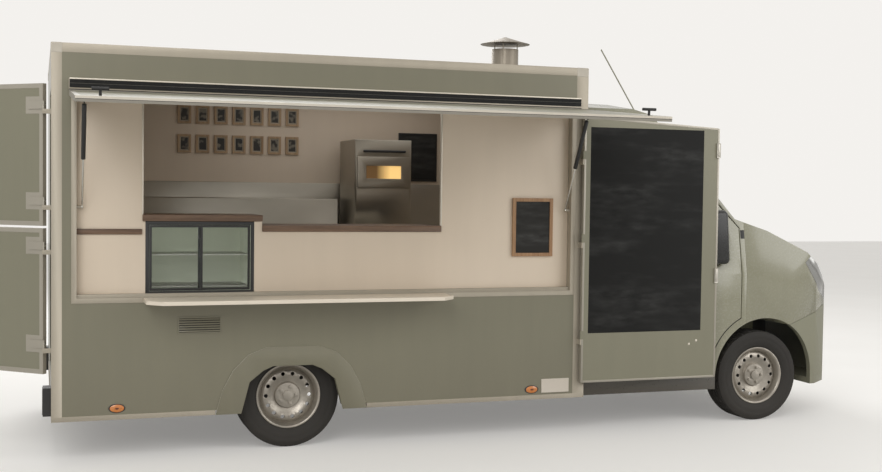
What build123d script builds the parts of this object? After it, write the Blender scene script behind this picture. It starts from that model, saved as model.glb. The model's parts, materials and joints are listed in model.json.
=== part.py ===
"""Food truck: a box body with a serving hatch on a front-wheel-drive van chassis.

Vehicle axes while modelling: x = 0 at the front axle and grows forwards, y = 0 on the centreline and
grows to the vehicle's left, z = 0 on the ground. The customers stand on the right, at negative y.
The hatch, the menu leaf and the rear doors are drawn as the truck stands when it serves.
All sizes are millimetres and degrees.
"""

from build123d import *
import os
from math import cos, hypot, radians, sin

os.makedirs("parts", exist_ok=True)

# Chassis and wheels
wheelbase = 3700.0
front_track = 1750.0
rear_track = 1730.0
tyre_radius = 349.5
tyre_width = 225.0
tyre_bore_radius = 221.0
rim_flange_radius = 220.7
rim_half_width = 96.0
rim_barrel_radius = 190.0
rim_wall = 7.0
hub_radius = 30.0
hub_clearance = 0.1
vent_count = 14
bolt_count = 5
kingpin_offset = 85.0
steer_limit = 35.0
steer_room = 230.0
spring_leg_inset = 100.0
wheel_box_gap = 52.5
rear_hub_length = 165.0
bearer_clearance = 80.0
rail_half_gap = 400.0
rail_width = 70.0
rail_bottom = 330.0
rail_top = 450.0
bearer_width = 60.0
bearer_count = 7
rail_setback = 60.0
tow_eye_radius = 18.0
tow_eye_plate = 76.0
tow_eye_drop = 90.0
tow_eye_thickness = 16.0

# Box body
box_length = 3688.0
box_width = 2200.0
box_front_x = -1552.0
box_bottom = 270.0
box_top = 2656.0
panel_thickness = 30.0
rear_post_width = 65.0
front_post_width = 90.0
post_depth = 65.0
top_rail_height = 58.0
bottom_rail_height = 32.0
rail_depth = 45.0
floor_top = 560.0
floor_thickness = 45.0

# Serving side
opening_rear_inset = 120.0
opening_bottom = 1019.0
opening_top = 2352.0
frame_width = 33.0
frame_proud = 4.0
liner_setback = 60.0
liner_thickness = 15.0
window_rear_x = -4678.0
window_front_x = -2645.0
window_top = 2300.0
upper_counter_top = 1583.0
lower_counter_top = 1515.0
counter_thickness = 42.0
counter_depth = 420.0
counter_proud = 15.0
fridge_width = 705.0
fridge_bottom = 1062.0
fridge_depth = 440.0
fridge_wall = 25.0
shelf_top = 1050.0
shelf_thickness = 24.0
shelf_reach = 325.0
shelf_chamfer = 95.0
shelf_axis_rise = 9.0

# Hatch and its gas struts
hatch_droop = 5.6
hatch_length = 1304.0
hinge_lift = 8.0
hatch_thickness = 32.0
hatch_end_overlap = 15.0
hatch_clearance = 5.0
hinge_knuckle_radius = 6.0
hinge_rail_height = 66.0
hinge_leaf = 4.0
hinge_leaf_height = 40.0
seat_gap = 0.3
strut_inset = 35.0
strut_hatch_reach = 285.0
strut_eye_drop = 22.0
strut_foot_z = 1630.0
strut_cylinder_length = 395.0
strut_cylinder_radius = 14.0
strut_rod_radius = 6.0
strut_eye_radius = 10.0
strut_eye_width = 8.0
strut_neck = 26.0
strut_neck_radius = 3.8

# Menu leaf
leaf_width = 1110.0
leaf_bottom = 385.0
leaf_top_hinge = 2310.0
leaf_top_free = 2250.0
leaf_thickness = 30.0
leaf_standoff = 22.0
leaf_hinge_gap = 15.0
board_inset_x = 50.0
board_width = 930.0
board_bottom = 742.0
board_top = 2232.0
board_thickness = 6.0

# Rear doors
rear_door_rest = 48.0
rear_door_width = 720.0
rear_door_thickness = 32.0
rear_door_bottom = 575.0
rear_door_top = 2400.0
rear_door_split = 1502.0
rear_door_split_gap = 14.0
rear_door_stand = 41.0
doorway_lap = 28.0

# Cab
cab_width = 2070.0
cab_wall = 45.0
cab_bottom = 270.0
cab_front_x = 840.0
cab_roof_z = 2450.0
cab_gap = 6.0
arch_x = 30.0
arch_z = 360.0
arch_radius = 443.0
arch_liner = 10.0
door_front_x = -195.0
door_rear_x = -1225.0
door_bottom = 420.0
cab_floor_top = 560.0
glass_thickness = 6.0
glass_setback = 8.0

# Roof flue
flue_x = -1806.0
flue_y = -100.0
flue_radius = 106.0
flue_top = 2885.0
flue_wall = 3.0
cap_radius = 196.0
cap_gap = 40.0
cap_rise = 61.0

# Derived places
rear_axle_x = -wheelbase
kingpin_y = front_track / 2 - kingpin_offset
wheel_well_y = kingpin_y - steer_room
well_y = rear_track / 2 - tyre_width / 2 - wheel_box_gap
axle_end_y = rear_track / 2 - rear_hub_length
rail_mid_y = rail_half_gap + rail_width / 2
cap_bottom = flue_top + cap_gap
cap_top = cap_bottom + cap_rise
box_rear_x = box_front_x - box_length
side_y = box_width / 2
wall_y = -side_y
inner_y = side_y - panel_thickness
opening_rear_x = box_rear_x + opening_rear_inset
opening_front_x = box_front_x - front_post_width
liner_y = wall_y + liner_setback
cab_side = cab_width / 2
hinge_y = wall_y - frame_proud - hatch_clearance - hatch_thickness
hinge_z = opening_top + hinge_lift


def block(x, y, z):
    """A plain block between two corners, each argument a (low, high) pair."""
    size = (x[1] - x[0], y[1] - y[0], z[1] - z[0])
    middle = ((x[0] + x[1]) / 2, (y[0] + y[1]) / 2, (z[0] + z[1]) / 2)
    return Pos(*middle) * Box(*size)


def side_prism(outline, y):
    """An (x, z) outline carried across the vehicle from y[0] to y[1]."""
    face = make_face(Polyline(*[(px, y[0], pz) for px, pz in outline], close=True))
    return extrude(face, amount=y[1] - y[0], dir=(0, 1, 0))


def plan_prism(outline, z):
    """An (x, y) outline carried up from z[0] to z[1]."""
    face = make_face(Polyline(*[(px, py, z[0]) for px, py in outline], close=True))
    return extrude(face, amount=z[1] - z[0], dir=(0, 0, 1))


def front_prism(outline, x):
    """A (y, z) outline carried along the vehicle from x[0] to x[1]."""
    face = make_face(Polyline(*[(x[0], py, pz) for py, pz in outline], close=True))
    return extrude(face, amount=x[1] - x[0], dir=(1, 0, 0))


def rod(start, end, radius):
    """A round bar between two points."""
    along = Vector(*end) - Vector(*start)
    plane = Plane(origin=start, z_dir=along)
    return extrude(plane * Circle(radius), amount=along.length)


def both_sides(piece):
    """The piece and its mirror image on the other side of the vehicle."""
    return piece + mirror(piece, about=Plane.XZ)


def turn(piece, point, direction, angle):
    """The piece turned about an axis through a point."""
    return piece.rotate(Axis(point, direction), angle)


nodes = {}


# Wheels: a tyre and a pressed steel rim, drawn round the y axis with the outer face towards negative y


def make_tyre():
    half = tyre_width / 2
    crown = tyre_radius
    bead = tyre_bore_radius
    section = [
        (bead, -0.82 * half),
        (bead + 24, -0.93 * half),
        (bead + 62, -half),
        (crown - 24, -0.96 * half),
        (crown - 6, -0.86 * half),
        (crown, -0.70 * half),
    ]
    section += [(r, -a) for r, a in reversed(section)]
    face = make_face(Polyline(*[(r, a, 0) for r, a in section], close=True))
    return revolve(face, axis=Axis.Y)


def make_rim():
    lip = rim_flange_radius
    half = rim_half_width
    inner = rim_barrel_radius
    barrel = [
        (lip, half),
        (lip, half - 8),
        (lip - 14, half - 12),
        (inner + rim_wall, half - 34),
        (inner + rim_wall, 34 - half),
        (lip - 14, 12 - half),
        (lip, 8 - half),
        (lip, -half),
        (lip - 8, -half),
        (lip - 16, 6 - half),
        (inner, 36 - half),
        (inner, half - 36),
        (lip - 16, half - 6),
        (lip - 8, half),
    ]
    disc = [
        (inner + 1, -30.0),
        (inner + 1, -42.0),
        (168, -62.0),
        (140, -66.0),
        (112, -50.0),
        (92, -44.0),
        (84, -62.0),
        (hub_radius, -62.0),
        (hub_radius, -50.0),
        (76, -50.0),
        (84, -34.0),
        (112, -38.0),
        (138, -54.0),
        (164, -50.0),
    ]
    body = revolve(make_face(Polyline(*[(r, a, 0) for r, a in barrel], close=True)), axis=Axis.Y)
    body += revolve(make_face(Polyline(*[(r, a, 0) for r, a in disc], close=True)), axis=Axis.Y)
    vent = rod((150, -90, 0), (150, -20, 0), 13)
    for i in range(vent_count):
        body -= turn(vent, (0, 0, 0), (0, 1, 0), i * 360 / vent_count)
    bolt = rod((59, -60, 0), (59, -74, 0), 11)
    for i in range(bolt_count):
        body += turn(bolt, (0, 0, 0), (0, 1, 0), i * 360 / bolt_count)
    cap_hole = rod((0, -63, 0), (0, -40, 0), hub_radius)
    cap = rod((0, -62, 0), (0, -76, 0), hub_radius + 4)
    return body - cap_hole + cap


tyre = make_tyre()
rim = make_rim()
# Columns: name, axle x, side (+1 left), track
wheels = [
    ("front_left", 0.0, 1, front_track),
    ("front_right", 0.0, -1, front_track),
    ("rear_left", rear_axle_x, 1, rear_track),
    ("rear_right", rear_axle_x, -1, rear_track),
]
for name, axle_x, side, track in wheels:
    place = Pos(axle_x, side * track / 2, tyre_radius)
    facing = Rot(0, 0, 180) if side > 0 else Rot(0, 0, 0)
    nodes["tyre_" + name] = place * facing * tyre
    nodes["rim_" + name] = place * facing * rim

# Front knuckles: an upright on the kingpin, the hub that carries the rim, and the brake shield
hub_face_y = front_track / 2 + 50.0
for name, side in (("left", 1), ("right", -1)):
    king = side * kingpin_y
    upright = rod((0, king, 250), (0, king, 450), 35)
    hub = rod((0, king, tyre_radius), (0, side * (hub_face_y + 8), tyre_radius), hub_radius - hub_clearance)
    flange = rod((0, side * (kingpin_y + 40), tyre_radius), (0, side * (hub_face_y - 1), tyre_radius), 62)
    shield = rod((0, side * (kingpin_y + 40), tyre_radius), (0, side * (kingpin_y + 62), tyre_radius), 140)
    nodes["knuckle_" + name] = upright + hub + flange + shield

# Front subframe with lower arms to the kingpins and inboard spring legs
arm_low = 215.0
arm_high = 250.0 - seat_gap
subframe = block((-160, 160), (-rail_half_gap - rail_width, rail_half_gap + rail_width), (arm_low, rail_bottom))
for side in (1, -1):
    ball_y = side * (kingpin_y + 15)
    leg_y = side * (kingpin_y - spring_leg_inset)
    outline = [(-150, side * rail_half_gap), (150, side * rail_half_gap), (32, ball_y), (-32, ball_y)]
    subframe += plan_prism(outline, (arm_low, arm_high))
    subframe += rod((0, leg_y, arm_low + 5), (0, leg_y, arch_z + arch_radius - 7), 27)
    subframe += block((-60, 60), sorted((leg_y - side * 10, side * kingpin_y)), (450 + seat_gap, 478))
nodes["front_axle"] = subframe

# Rear beam axle, dropped under the rails, with single leaf springs and the stubs for the rims
beam = block((rear_axle_x - 35, rear_axle_x + 35), (-axle_end_y, axle_end_y), (205, 275))
for side in (1, -1):
    plate = block((rear_axle_x - 60, rear_axle_x + 60), sorted((side * (axle_end_y - 60), side * axle_end_y)),
                  (205, 430))
    stub = rod((rear_axle_x, side * (axle_end_y - 10), tyre_radius),
               (rear_axle_x, side * (rear_track / 2 + 58), tyre_radius), hub_radius - hub_clearance)
    drum = rod((rear_axle_x, side * axle_end_y, tyre_radius),
               (rear_axle_x, side * (rear_track / 2 + 30), tyre_radius), 130)
    spring = side_prism(
        [(rear_axle_x - 640, 316), (rear_axle_x - 60, 268), (rear_axle_x + 60, 268), (rear_axle_x + 640, 316),
         (rear_axle_x + 640, rail_bottom), (rear_axle_x + 60, 284), (rear_axle_x - 60, 284),
         (rear_axle_x - 640, rail_bottom)],
        (side * rail_mid_y - 30, side * rail_mid_y + 30),
    )
    beam += plate + stub + drum + spring
nodes["rear_axle"] = beam

# Chassis: two rails with the towing eye, cross members and the bearers that carry the box floor
rail_y = (rail_half_gap, rail_half_gap + rail_width)
rails = both_sides(block((box_rear_x + rail_setback, 560), rail_y, (rail_bottom, rail_top)))
front_member_x = 480.0
member_x = (box_rear_x + rail_setback, rear_axle_x - 500, rear_axle_x + 500, -1900, -900, front_member_x)
members = Part()
for x in member_x:
    members += block((x, x + 60), (-rail_half_gap, rail_half_gap), (rail_bottom + 20, rail_top - 20))
nodes["cross_members"] = members
bearers = Part()
bearer_pitch = (box_length - 300) / (bearer_count - 1)
for i in range(bearer_count):
    x = box_rear_x + 150 + i * bearer_pitch
    reach = well_y - bearer_clearance if abs(x - rear_axle_x) < 480 else inner_y
    bearers += block((x - bearer_width / 2, x + bearer_width / 2), (-reach, reach),
                     (rail_top, floor_top - floor_thickness))
nodes["floor_bearers"] = bearers
tow_eye_x = box_rear_x + rail_setback + tow_eye_plate / 2
tow_eye_z = rail_bottom - tow_eye_drop
tow_eye_y = -rail_mid_y
eye_y_pair = (tow_eye_y - tow_eye_thickness / 2, tow_eye_y + tow_eye_thickness / 2)
eye_plate = block((box_rear_x + rail_setback, box_rear_x + rail_setback + tow_eye_plate), eye_y_pair,
                  (tow_eye_z - tow_eye_plate / 2, rail_bottom))
eye_plate -= rod((tow_eye_x, eye_y_pair[0] - 1, tow_eye_z), (tow_eye_x, eye_y_pair[1] + 1, tow_eye_z), tow_eye_radius)
nodes["chassis_rails"] = rails + eye_plate

# Under the floor: engine and gearbox as one mass, the fuel tank and the exhaust
nodes["engine_block"] = block((170, front_member_x), (-370, 370), (380, 1040)) + block((-60, 170), (-300, 250), (380, 700))
fuel_tank = block((-2700, -1700), (480, 900), (300, rail_top))
exhaust_z = 300.0
exhaust = rod((-300, -330, exhaust_z), (-2900, -330, exhaust_z), 28) + rod((-1150, -300, 265), (-1780, -300, 265), 75)
for x in member_x[3:5]:
    exhaust += block((x + 20, x + 32), (-338, -322), (exhaust_z, rail_bottom + 20))
nodes["tank_and_exhaust"] = fuel_tank + exhaust

# Box body: sandwich panels held in aluminium posts and rails
panel_z = (box_bottom + bottom_rail_height, box_top - top_rail_height)
panel_x = (box_rear_x + rear_post_width, box_front_x - front_post_width)
arch_low_half = 415.0
arch_outline = [(-arch_low_half, 0), (-290, 478), (-200, 550), (-135, 578), (135, 578), (200, 550), (290, 478),
                (arch_low_half, 0)]
arch_opening = [(rear_axle_x + dx, z) for dx, z in arch_outline]
flare_outline = [(-514, box_bottom), (-470, 430), (-400, 560), (-300, 660), (-180, 706), (180, 706), (300, 660),
                 (400, 560), (470, 430), (514, box_bottom)]
flare_shape = [(rear_axle_x + dx, z) for dx, z in flare_outline]

right_wall = block(panel_x, (wall_y, wall_y + panel_thickness), panel_z)
right_wall -= block((opening_rear_x, opening_front_x + 1), (wall_y - 1, wall_y + panel_thickness + 1),
                    (opening_bottom, opening_top))
right_wall -= side_prism(arch_opening, (wall_y - 1, wall_y + panel_thickness + 1))
nodes["box_wall_right"] = right_wall

left_wall = block(panel_x, (inner_y, side_y), panel_z)
left_wall -= side_prism(arch_opening, (inner_y - 1, side_y + 1))
nodes["box_wall_left"] = left_wall

inside_y = side_y - post_depth
floor_bottom = floor_top - floor_thickness
nodes["box_front_wall"] = block((box_front_x - panel_thickness, box_front_x), (-inside_y, inside_y),
                                (floor_bottom, panel_z[1]))

door_hinge_y = -side_y + 14.0
doorway = ((door_hinge_y + 12 + doorway_lap, door_hinge_y + 12 + rear_door_width - doorway_lap),
           (rear_door_bottom + doorway_lap - 40, rear_door_top - doorway_lap))
rear_wall = block((box_rear_x, box_rear_x + panel_thickness), (-inside_y, inside_y), panel_z)
rear_wall -= block((box_rear_x - 1, box_rear_x + panel_thickness + 1), doorway[0], doorway[1])
nodes["box_rear_wall"] = rear_wall

nodes["box_roof"] = block((box_rear_x + rail_depth, box_front_x - rail_depth),
                          (-side_y + rail_depth, side_y - rail_depth), (box_top - panel_thickness, box_top - 4))
nodes["box_roof"] -= rod((flue_x, flue_y, box_top - 100), (flue_x, flue_y, box_top + 10), flue_radius + seat_gap)

floor = block((box_rear_x + panel_thickness, box_front_x - panel_thickness), (-inner_y, inner_y),
              (floor_top - floor_thickness, floor_top))
well_half_x = 430.0
well_top = 760.0
well_wall = 12.0
floor -= both_sides(block((rear_axle_x - well_half_x, rear_axle_x + well_half_x), (well_y, inner_y + 1),
                          (floor_top - 100, floor_top + 1)))
for side in (1, -1):
    for x0, x1 in ((box_rear_x, box_rear_x + rear_post_width), (box_front_x - front_post_width, box_front_x)):
        y0, y1 = sorted((side * inside_y, side * side_y))
        floor -= block((x0, x1), (y0, y1), (floor_top - 100, floor_top + 1))
nodes["box_floor"] = floor

# Posts and rails
profiles = None
for side in (1, -1):
    y0, y1 = sorted((side * inside_y, side * side_y))
    r0, r1 = sorted((side * (side_y - rail_depth), side * side_y))
    rear_post = block((box_rear_x, box_rear_x + rear_post_width), (y0, y1), (box_bottom, box_top))
    front_post = block((box_front_x - front_post_width, box_front_x), (y0, y1), (box_bottom, box_top))
    top_rail = block((box_rear_x, box_front_x), (r0, r1), (box_top - top_rail_height, box_top))
    s0, s1 = sorted((side * inner_y, side * (side_y + 2)))
    bottom_rail = block((box_rear_x, box_front_x), (s0, s1), (box_bottom, box_bottom + bottom_rail_height))
    bottom_rail -= block((rear_axle_x - 514, rear_axle_x + 514), (s0 - 1, s1 + 1), (box_bottom - 1, box_top))
    piece = rear_post + front_post + top_rail + bottom_rail
    profiles = piece if profiles is None else profiles + piece
for x0 in (box_rear_x, box_front_x - rail_depth):
    profiles += block((x0, x0 + rail_depth), (-side_y, side_y), (box_top - top_rail_height, box_top))
profiles += block((box_rear_x, box_rear_x + panel_thickness), (-side_y, side_y),
                  (box_bottom, box_bottom + bottom_rail_height))
nodes["box_roof"] -= profiles

# Rear wheel boxes inside the floor, and the flares outside the walls
boxes = block((rear_axle_x - well_half_x, rear_axle_x + well_half_x), (well_y, inner_y),
              (floor_top - floor_thickness, well_top))
boxes -= block((rear_axle_x - well_half_x + well_wall, rear_axle_x + well_half_x - well_wall),
               (well_y + well_wall, inner_y + 1), (floor_top - floor_thickness - 1, well_top - well_wall))
wheel_boxes = both_sides(boxes)
well_space = both_sides(block((rear_axle_x - well_half_x - 1, rear_axle_x + well_half_x + 1), (well_y - 1, inner_y),
                              (floor_top - floor_thickness, well_top + 1)))
flare = side_prism(flare_shape, (side_y, side_y + 8)) - side_prism(arch_opening, (side_y - 1, side_y + 9))
nodes["rear_arches"] = wheel_boxes + both_sides(flare)

# Serving side: the opening's frame with the hinge rail and the strut brackets, and the white inner wall
frame_y = (wall_y - frame_proud, liner_y)
frame_piece = block((opening_rear_x, opening_front_x), frame_y, (opening_bottom, opening_top))
frame_piece -= block((opening_rear_x + frame_width, opening_front_x - frame_width),
                     (frame_y[0] - 1, frame_y[1] + 1), (opening_bottom + frame_width, opening_top - frame_width))
frame_piece += block((opening_rear_x + frame_width, opening_front_x - frame_width), (wall_y + 20, liner_y),
                     (opening_bottom + frame_width - 1, opening_bottom + frame_width + 22))
rail_foot = hinge_z + hinge_knuckle_radius + seat_gap
hatch_x = (opening_rear_x - hatch_end_overlap, opening_front_x + hatch_end_overlap)
frame_piece += block(hatch_x, (hinge_y - 8, wall_y), (rail_foot, rail_foot + hinge_rail_height))
foot_y = liner_y - 30.0
# Columns: name, x of the strut, direction to the jamb
struts = [
    ("rear", opening_rear_x + frame_width + strut_inset, -1),
    ("front", opening_front_x - frame_width - strut_inset, 1),
]
for name, strut_x, side in struts:
    jamb = strut_x + side * strut_inset
    pin_end = strut_x - side * strut_eye_width / 2
    frame_piece += rod((jamb, foot_y, strut_foot_z), (pin_end + side * strut_eye_width + side * seat_gap, foot_y,
                                                      strut_foot_z), strut_eye_radius)
    frame_piece += block((min(jamb, jamb + side * 4), max(jamb, jamb + side * 4)), (foot_y - 25, foot_y + 25),
                         (strut_foot_z - 40, strut_foot_z + 40))

fridge_rear_x = window_rear_x + 18.0
fridge_front_x = fridge_rear_x + fridge_width
fridge_top = upper_counter_top - counter_thickness
liner = block((opening_rear_x, opening_front_x), (liner_y, liner_y + liner_thickness), (opening_bottom, opening_top))
step_x = fridge_front_x + 54.0
liner -= block((window_rear_x, step_x), (liner_y - 1, liner_y + 30), (upper_counter_top - counter_thickness,
                                                                     window_top))
liner -= block((step_x - 1, window_front_x), (liner_y - 1, liner_y + 30), (lower_counter_top - counter_thickness,
                                                                          window_top))
liner -= block((fridge_rear_x, fridge_front_x), (liner_y - 1, liner_y + 30), (fridge_bottom, fridge_top + 1))
nodes["serving_wall"] = liner

# Wooden counters in the window and the strip at the left panel
counter_y = (liner_y - counter_proud, liner_y + counter_depth)
counters = block((window_rear_x, step_x), counter_y, (upper_counter_top - counter_thickness, upper_counter_top))
counters += block((step_x, window_front_x), counter_y, (lower_counter_top - counter_thickness, lower_counter_top))
nodes["counters"] = counters

# Drinks fridge with sliding glass doors
fridge_y = (liner_y, liner_y + fridge_depth)
cabinet = block((fridge_rear_x, fridge_front_x), fridge_y, (fridge_bottom, fridge_top))
cabinet -= block((fridge_rear_x + fridge_wall, fridge_front_x - fridge_wall),
                 (fridge_y[0] - 1, fridge_y[1] - fridge_wall), (fridge_bottom + fridge_wall, fridge_top - fridge_wall))
nodes["drinks_fridge"] = cabinet
middle_x = (fridge_rear_x + fridge_front_x) / 2
door_z = (fridge_bottom + fridge_wall, fridge_top - fridge_wall)
glass = block((fridge_rear_x + fridge_wall, middle_x + 15), (liner_y + 6, liner_y + 12), door_z)
glass += block((middle_x - 15, fridge_front_x - fridge_wall), (liner_y + 16, liner_y + 22), door_z)
fridge_panes = glass

# Base cabinet that carries the counters and the fridge
base_y = (liner_y + liner_thickness, liner_y + counter_depth - 20)
base = block((window_rear_x, window_front_x), base_y, (floor_top, lower_counter_top - counter_thickness))
base -= block((window_rear_x + 18, window_front_x - 18), (base_y[0] - 1, base_y[1] - 18),
              (floor_top + 80, lower_counter_top - counter_thickness - 18))
base -= block((fridge_rear_x - 1, fridge_front_x + 1), (base_y[0] - 1, base_y[1] + 1),
              (fridge_bottom, fridge_top + 60))
base += block((window_rear_x + 18, window_front_x - 18), (base_y[0], base_y[1] - 18),
              (fridge_bottom - 18, fridge_bottom))
nodes["base_cabinet"] = base - well_space

# Folding service shelf under the window
shelf_axis_y = wall_y - frame_proud - hatch_clearance - shelf_axis_rise
shelf_axis_z = shelf_top - shelf_thickness + shelf_axis_rise
edge_y = shelf_axis_y - 6.0
outline = [
    (window_rear_x, edge_y),
    (window_front_x, edge_y),
    (window_front_x - 1, wall_y - shelf_reach + shelf_chamfer),
    (window_front_x - shelf_chamfer, wall_y - shelf_reach),
    (window_rear_x + shelf_chamfer, wall_y - shelf_reach),
    (window_rear_x + 1, wall_y - shelf_reach + shelf_chamfer),
]
shelf = plan_prism(outline, (shelf_top - shelf_thickness, shelf_top))
shelf_knuckles = None
shelf_hinge_count = 4
for i in range(shelf_hinge_count):
    x = window_rear_x + 200 + i * (window_front_x - window_rear_x - 400) / (shelf_hinge_count - 1)
    shelf += rod((x, shelf_axis_y, shelf_axis_z), (x + 40, shelf_axis_y, shelf_axis_z), 5.5)
    shelf += block((x, x + 40), (edge_y - 2, shelf_axis_y), (shelf_axis_z - 2, shelf_axis_z + 2))
    knuckle = rod((x - 40, shelf_axis_y, shelf_axis_z), (x - seat_gap, shelf_axis_y, shelf_axis_z), 5.5)
    knuckle += block((x - 40, x - seat_gap), (shelf_axis_y, wall_y - frame_proud), (shelf_axis_z - 4, shelf_axis_z + 4))
    shelf_knuckles = knuckle if shelf_knuckles is None else shelf_knuckles + knuckle
nodes["service_shelf"] = shelf
nodes["hatch_frame"] = frame_piece + shelf_knuckles

# Prep counter on the far wall with its stainless back, and the pizza oven that stands on it
prep_x = (-4600.0, -1700.0)
prep_y = (400.0, inner_y)
prep_top = 1460.0
prep = block(prep_x, prep_y, (floor_top, prep_top))
prep += block(prep_x, (inner_y - 12, inner_y), (prep_top, 1812))
prep += block((prep_x[0], -2950), (inner_y - 330, inner_y - 12), (prep_top, 1680))
nodes["prep_counter"] = prep - well_space
oven = block((-2880, -2400), (460, 960), (prep_top, 2170))
oven_chamber_x = (-2850, -2430)
oven_chamber_y = (459, 700)
oven_chamber_z = (prep_top + 330, prep_top + 560)
oven -= block(oven_chamber_x, oven_chamber_y, oven_chamber_z)
nodes["pizza_oven"] = oven

# Picture frames in two rows on the far wall
frame_pitch = 150.0
pictures = None
for row_z in (2050.0, 2290.0):
    for i in range(7):
        x = -4230 + i * frame_pitch
        piece = block((x, x + 110), (inner_y - 18, inner_y), (row_z, row_z + 150))
        pictures = piece if pictures is None else pictures + piece
slate = block((-2108, -1797), (liner_y - 18, liner_y), (1298, 1715))
slate += block((-2330, -1980), (inner_y - 20, inner_y), (1840, 2260))
nodes["wall_pictures"] = pictures + slate

# Hatch: drawn open as it serves, then its struts
hatch_top_gap = hinge_knuckle_radius + 4.0
hatch_plane = Plane(origin=(hatch_x[0], 0, 0), x_dir=(0, 1, 0), z_dir=(1, 0, 0))
panel_middle = (hinge_y + hatch_thickness / 2, hinge_z - (hatch_length + hatch_top_gap) / 2)
hatch_section = Pos(*panel_middle) * Rectangle(hatch_thickness, hatch_length - hatch_top_gap)
hatch_section += Pos(hinge_y + hinge_leaf / 2, hinge_z - hinge_leaf_height / 2) * Rectangle(hinge_leaf, hinge_leaf_height)
hatch_section += Pos(hinge_y, hinge_z) * Circle(hinge_knuckle_radius)
closed_hatch = extrude(hatch_plane * hatch_section, amount=hatch_x[1] - hatch_x[0])
open_angle = 90 - hatch_droop
hinge_point = (0, hinge_y, hinge_z)
eye_y_closed = hinge_y + hatch_thickness + strut_eye_drop
eye_z_closed = hinge_z - strut_hatch_reach


def opened(y, z):
    """Where a point of the closed hatch goes when the hatch stands open."""
    dy = y - hinge_y
    dz = z - hinge_z
    a = radians(open_angle)
    return hinge_y + dy * cos(a) + dz * sin(a), hinge_z - dy * sin(a) + dz * cos(a)


eye_y, eye_z = opened(eye_y_closed, eye_z_closed)
open_length = hypot(eye_y - foot_y, eye_z - strut_foot_z)
closed_length = hypot(eye_y_closed - foot_y, eye_z_closed - strut_foot_z)
for name, strut_x, side in struts:
    jamb = strut_x + side * strut_inset
    ear_x = strut_x + side * (strut_eye_width / 2 + seat_gap)
    ear = (min(ear_x, ear_x + side * 6), max(ear_x, ear_x + side * 6))
    closed_hatch += block(ear, (hinge_y + hatch_thickness, eye_y_closed + 12), (eye_z_closed - 14, eye_z_closed + 14))
handle_x = (hatch_x[0] + 130, hatch_x[1] - 130)
for x in handle_x:
    grip_z = hinge_z - hatch_length + 60
    closed_hatch += rod((x, hinge_y + 2, grip_z), (x, hinge_y - 38, grip_z), 8)
    closed_hatch += rod((x - 45, hinge_y - 38, grip_z), (x + 45, hinge_y - 38, grip_z), 9)
nodes["hatch"] = turn(closed_hatch, hinge_point, (1, 0, 0), -open_angle)

along_y = (foot_y - eye_y) / open_length
along_z = (strut_foot_z - eye_z) / open_length
for name, strut_x, side in struts:
    def at(distance, x=strut_x):
        return (x, eye_y + along_y * distance, eye_z + along_z * distance)

    inner_x = strut_x - strut_eye_width / 2
    eye_ring = rod((inner_x, eye_y, eye_z), (inner_x + strut_eye_width, eye_y, eye_z), strut_eye_radius)
    cylinder = eye_ring + rod(at(0), at(strut_neck + 2), strut_neck_radius)
    cylinder += rod(at(strut_neck), at(strut_cylinder_length), strut_cylinder_radius)
    cylinder -= rod(at(60), at(strut_cylinder_length + 1), strut_rod_radius + hub_clearance)
    nodes["strut_cylinder_" + name] = cylinder
    rod_start = strut_cylinder_length - 20.0
    foot_eye = rod((inner_x, foot_y, strut_foot_z), (inner_x + strut_eye_width, foot_y, strut_foot_z),
                   strut_eye_radius)
    bar = rod(at(rod_start), at(open_length - strut_neck), strut_rod_radius)
    nodes["strut_rod_" + name] = foot_eye + bar + rod(at(open_length - strut_neck - 2), at(open_length),
                                                      strut_neck_radius)

# Menu leaf on the front post, with its blackboard
leaf_rear_x = opening_front_x + hatch_end_overlap + leaf_hinge_gap + 12.0
leaf_axis_x = leaf_rear_x - 7.0
leaf_inner_y = wall_y - leaf_standoff
leaf_outer_y = leaf_inner_y - leaf_thickness
leaf_axis_y = leaf_outer_y
leaf = side_prism(
    [(leaf_rear_x, leaf_bottom), (leaf_rear_x + leaf_width, leaf_bottom), (leaf_rear_x + leaf_width, leaf_top_free),
     (leaf_rear_x, leaf_top_hinge)],
    (leaf_outer_y, leaf_inner_y),
)
board_x = (leaf_rear_x + board_inset_x, leaf_rear_x + board_inset_x + board_width)
leaf -= block(board_x, (leaf_outer_y - 1, leaf_outer_y + board_thickness), (board_bottom, board_top))
for z in (700, 1400, 2000):
    leaf += rod((leaf_axis_x, leaf_axis_y, z), (leaf_axis_x, leaf_axis_y, z + 60), 6)
    leaf += block((leaf_axis_x, leaf_rear_x + 20), (leaf_outer_y - 3, leaf_outer_y), (z, z + 60))
nodes["menu_leaf"] = leaf
nodes["menu_board"] = block(board_x, (leaf_outer_y, leaf_outer_y + board_thickness), (board_bottom, board_top))
hinge_post = None
for z in (700, 1400, 2000):
    piece = block((leaf_axis_x - 6, leaf_axis_x + 4.5), (leaf_axis_y - 4.5, wall_y), (z - 40, z - seat_gap))
    hinge_post = piece if hinge_post is None else hinge_post + piece

# Rear doors: two leaves one above the other, drawn part open
door_axis_x = box_rear_x - rear_door_stand - 4.0
door_axis = (door_axis_x, door_hinge_y)
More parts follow.
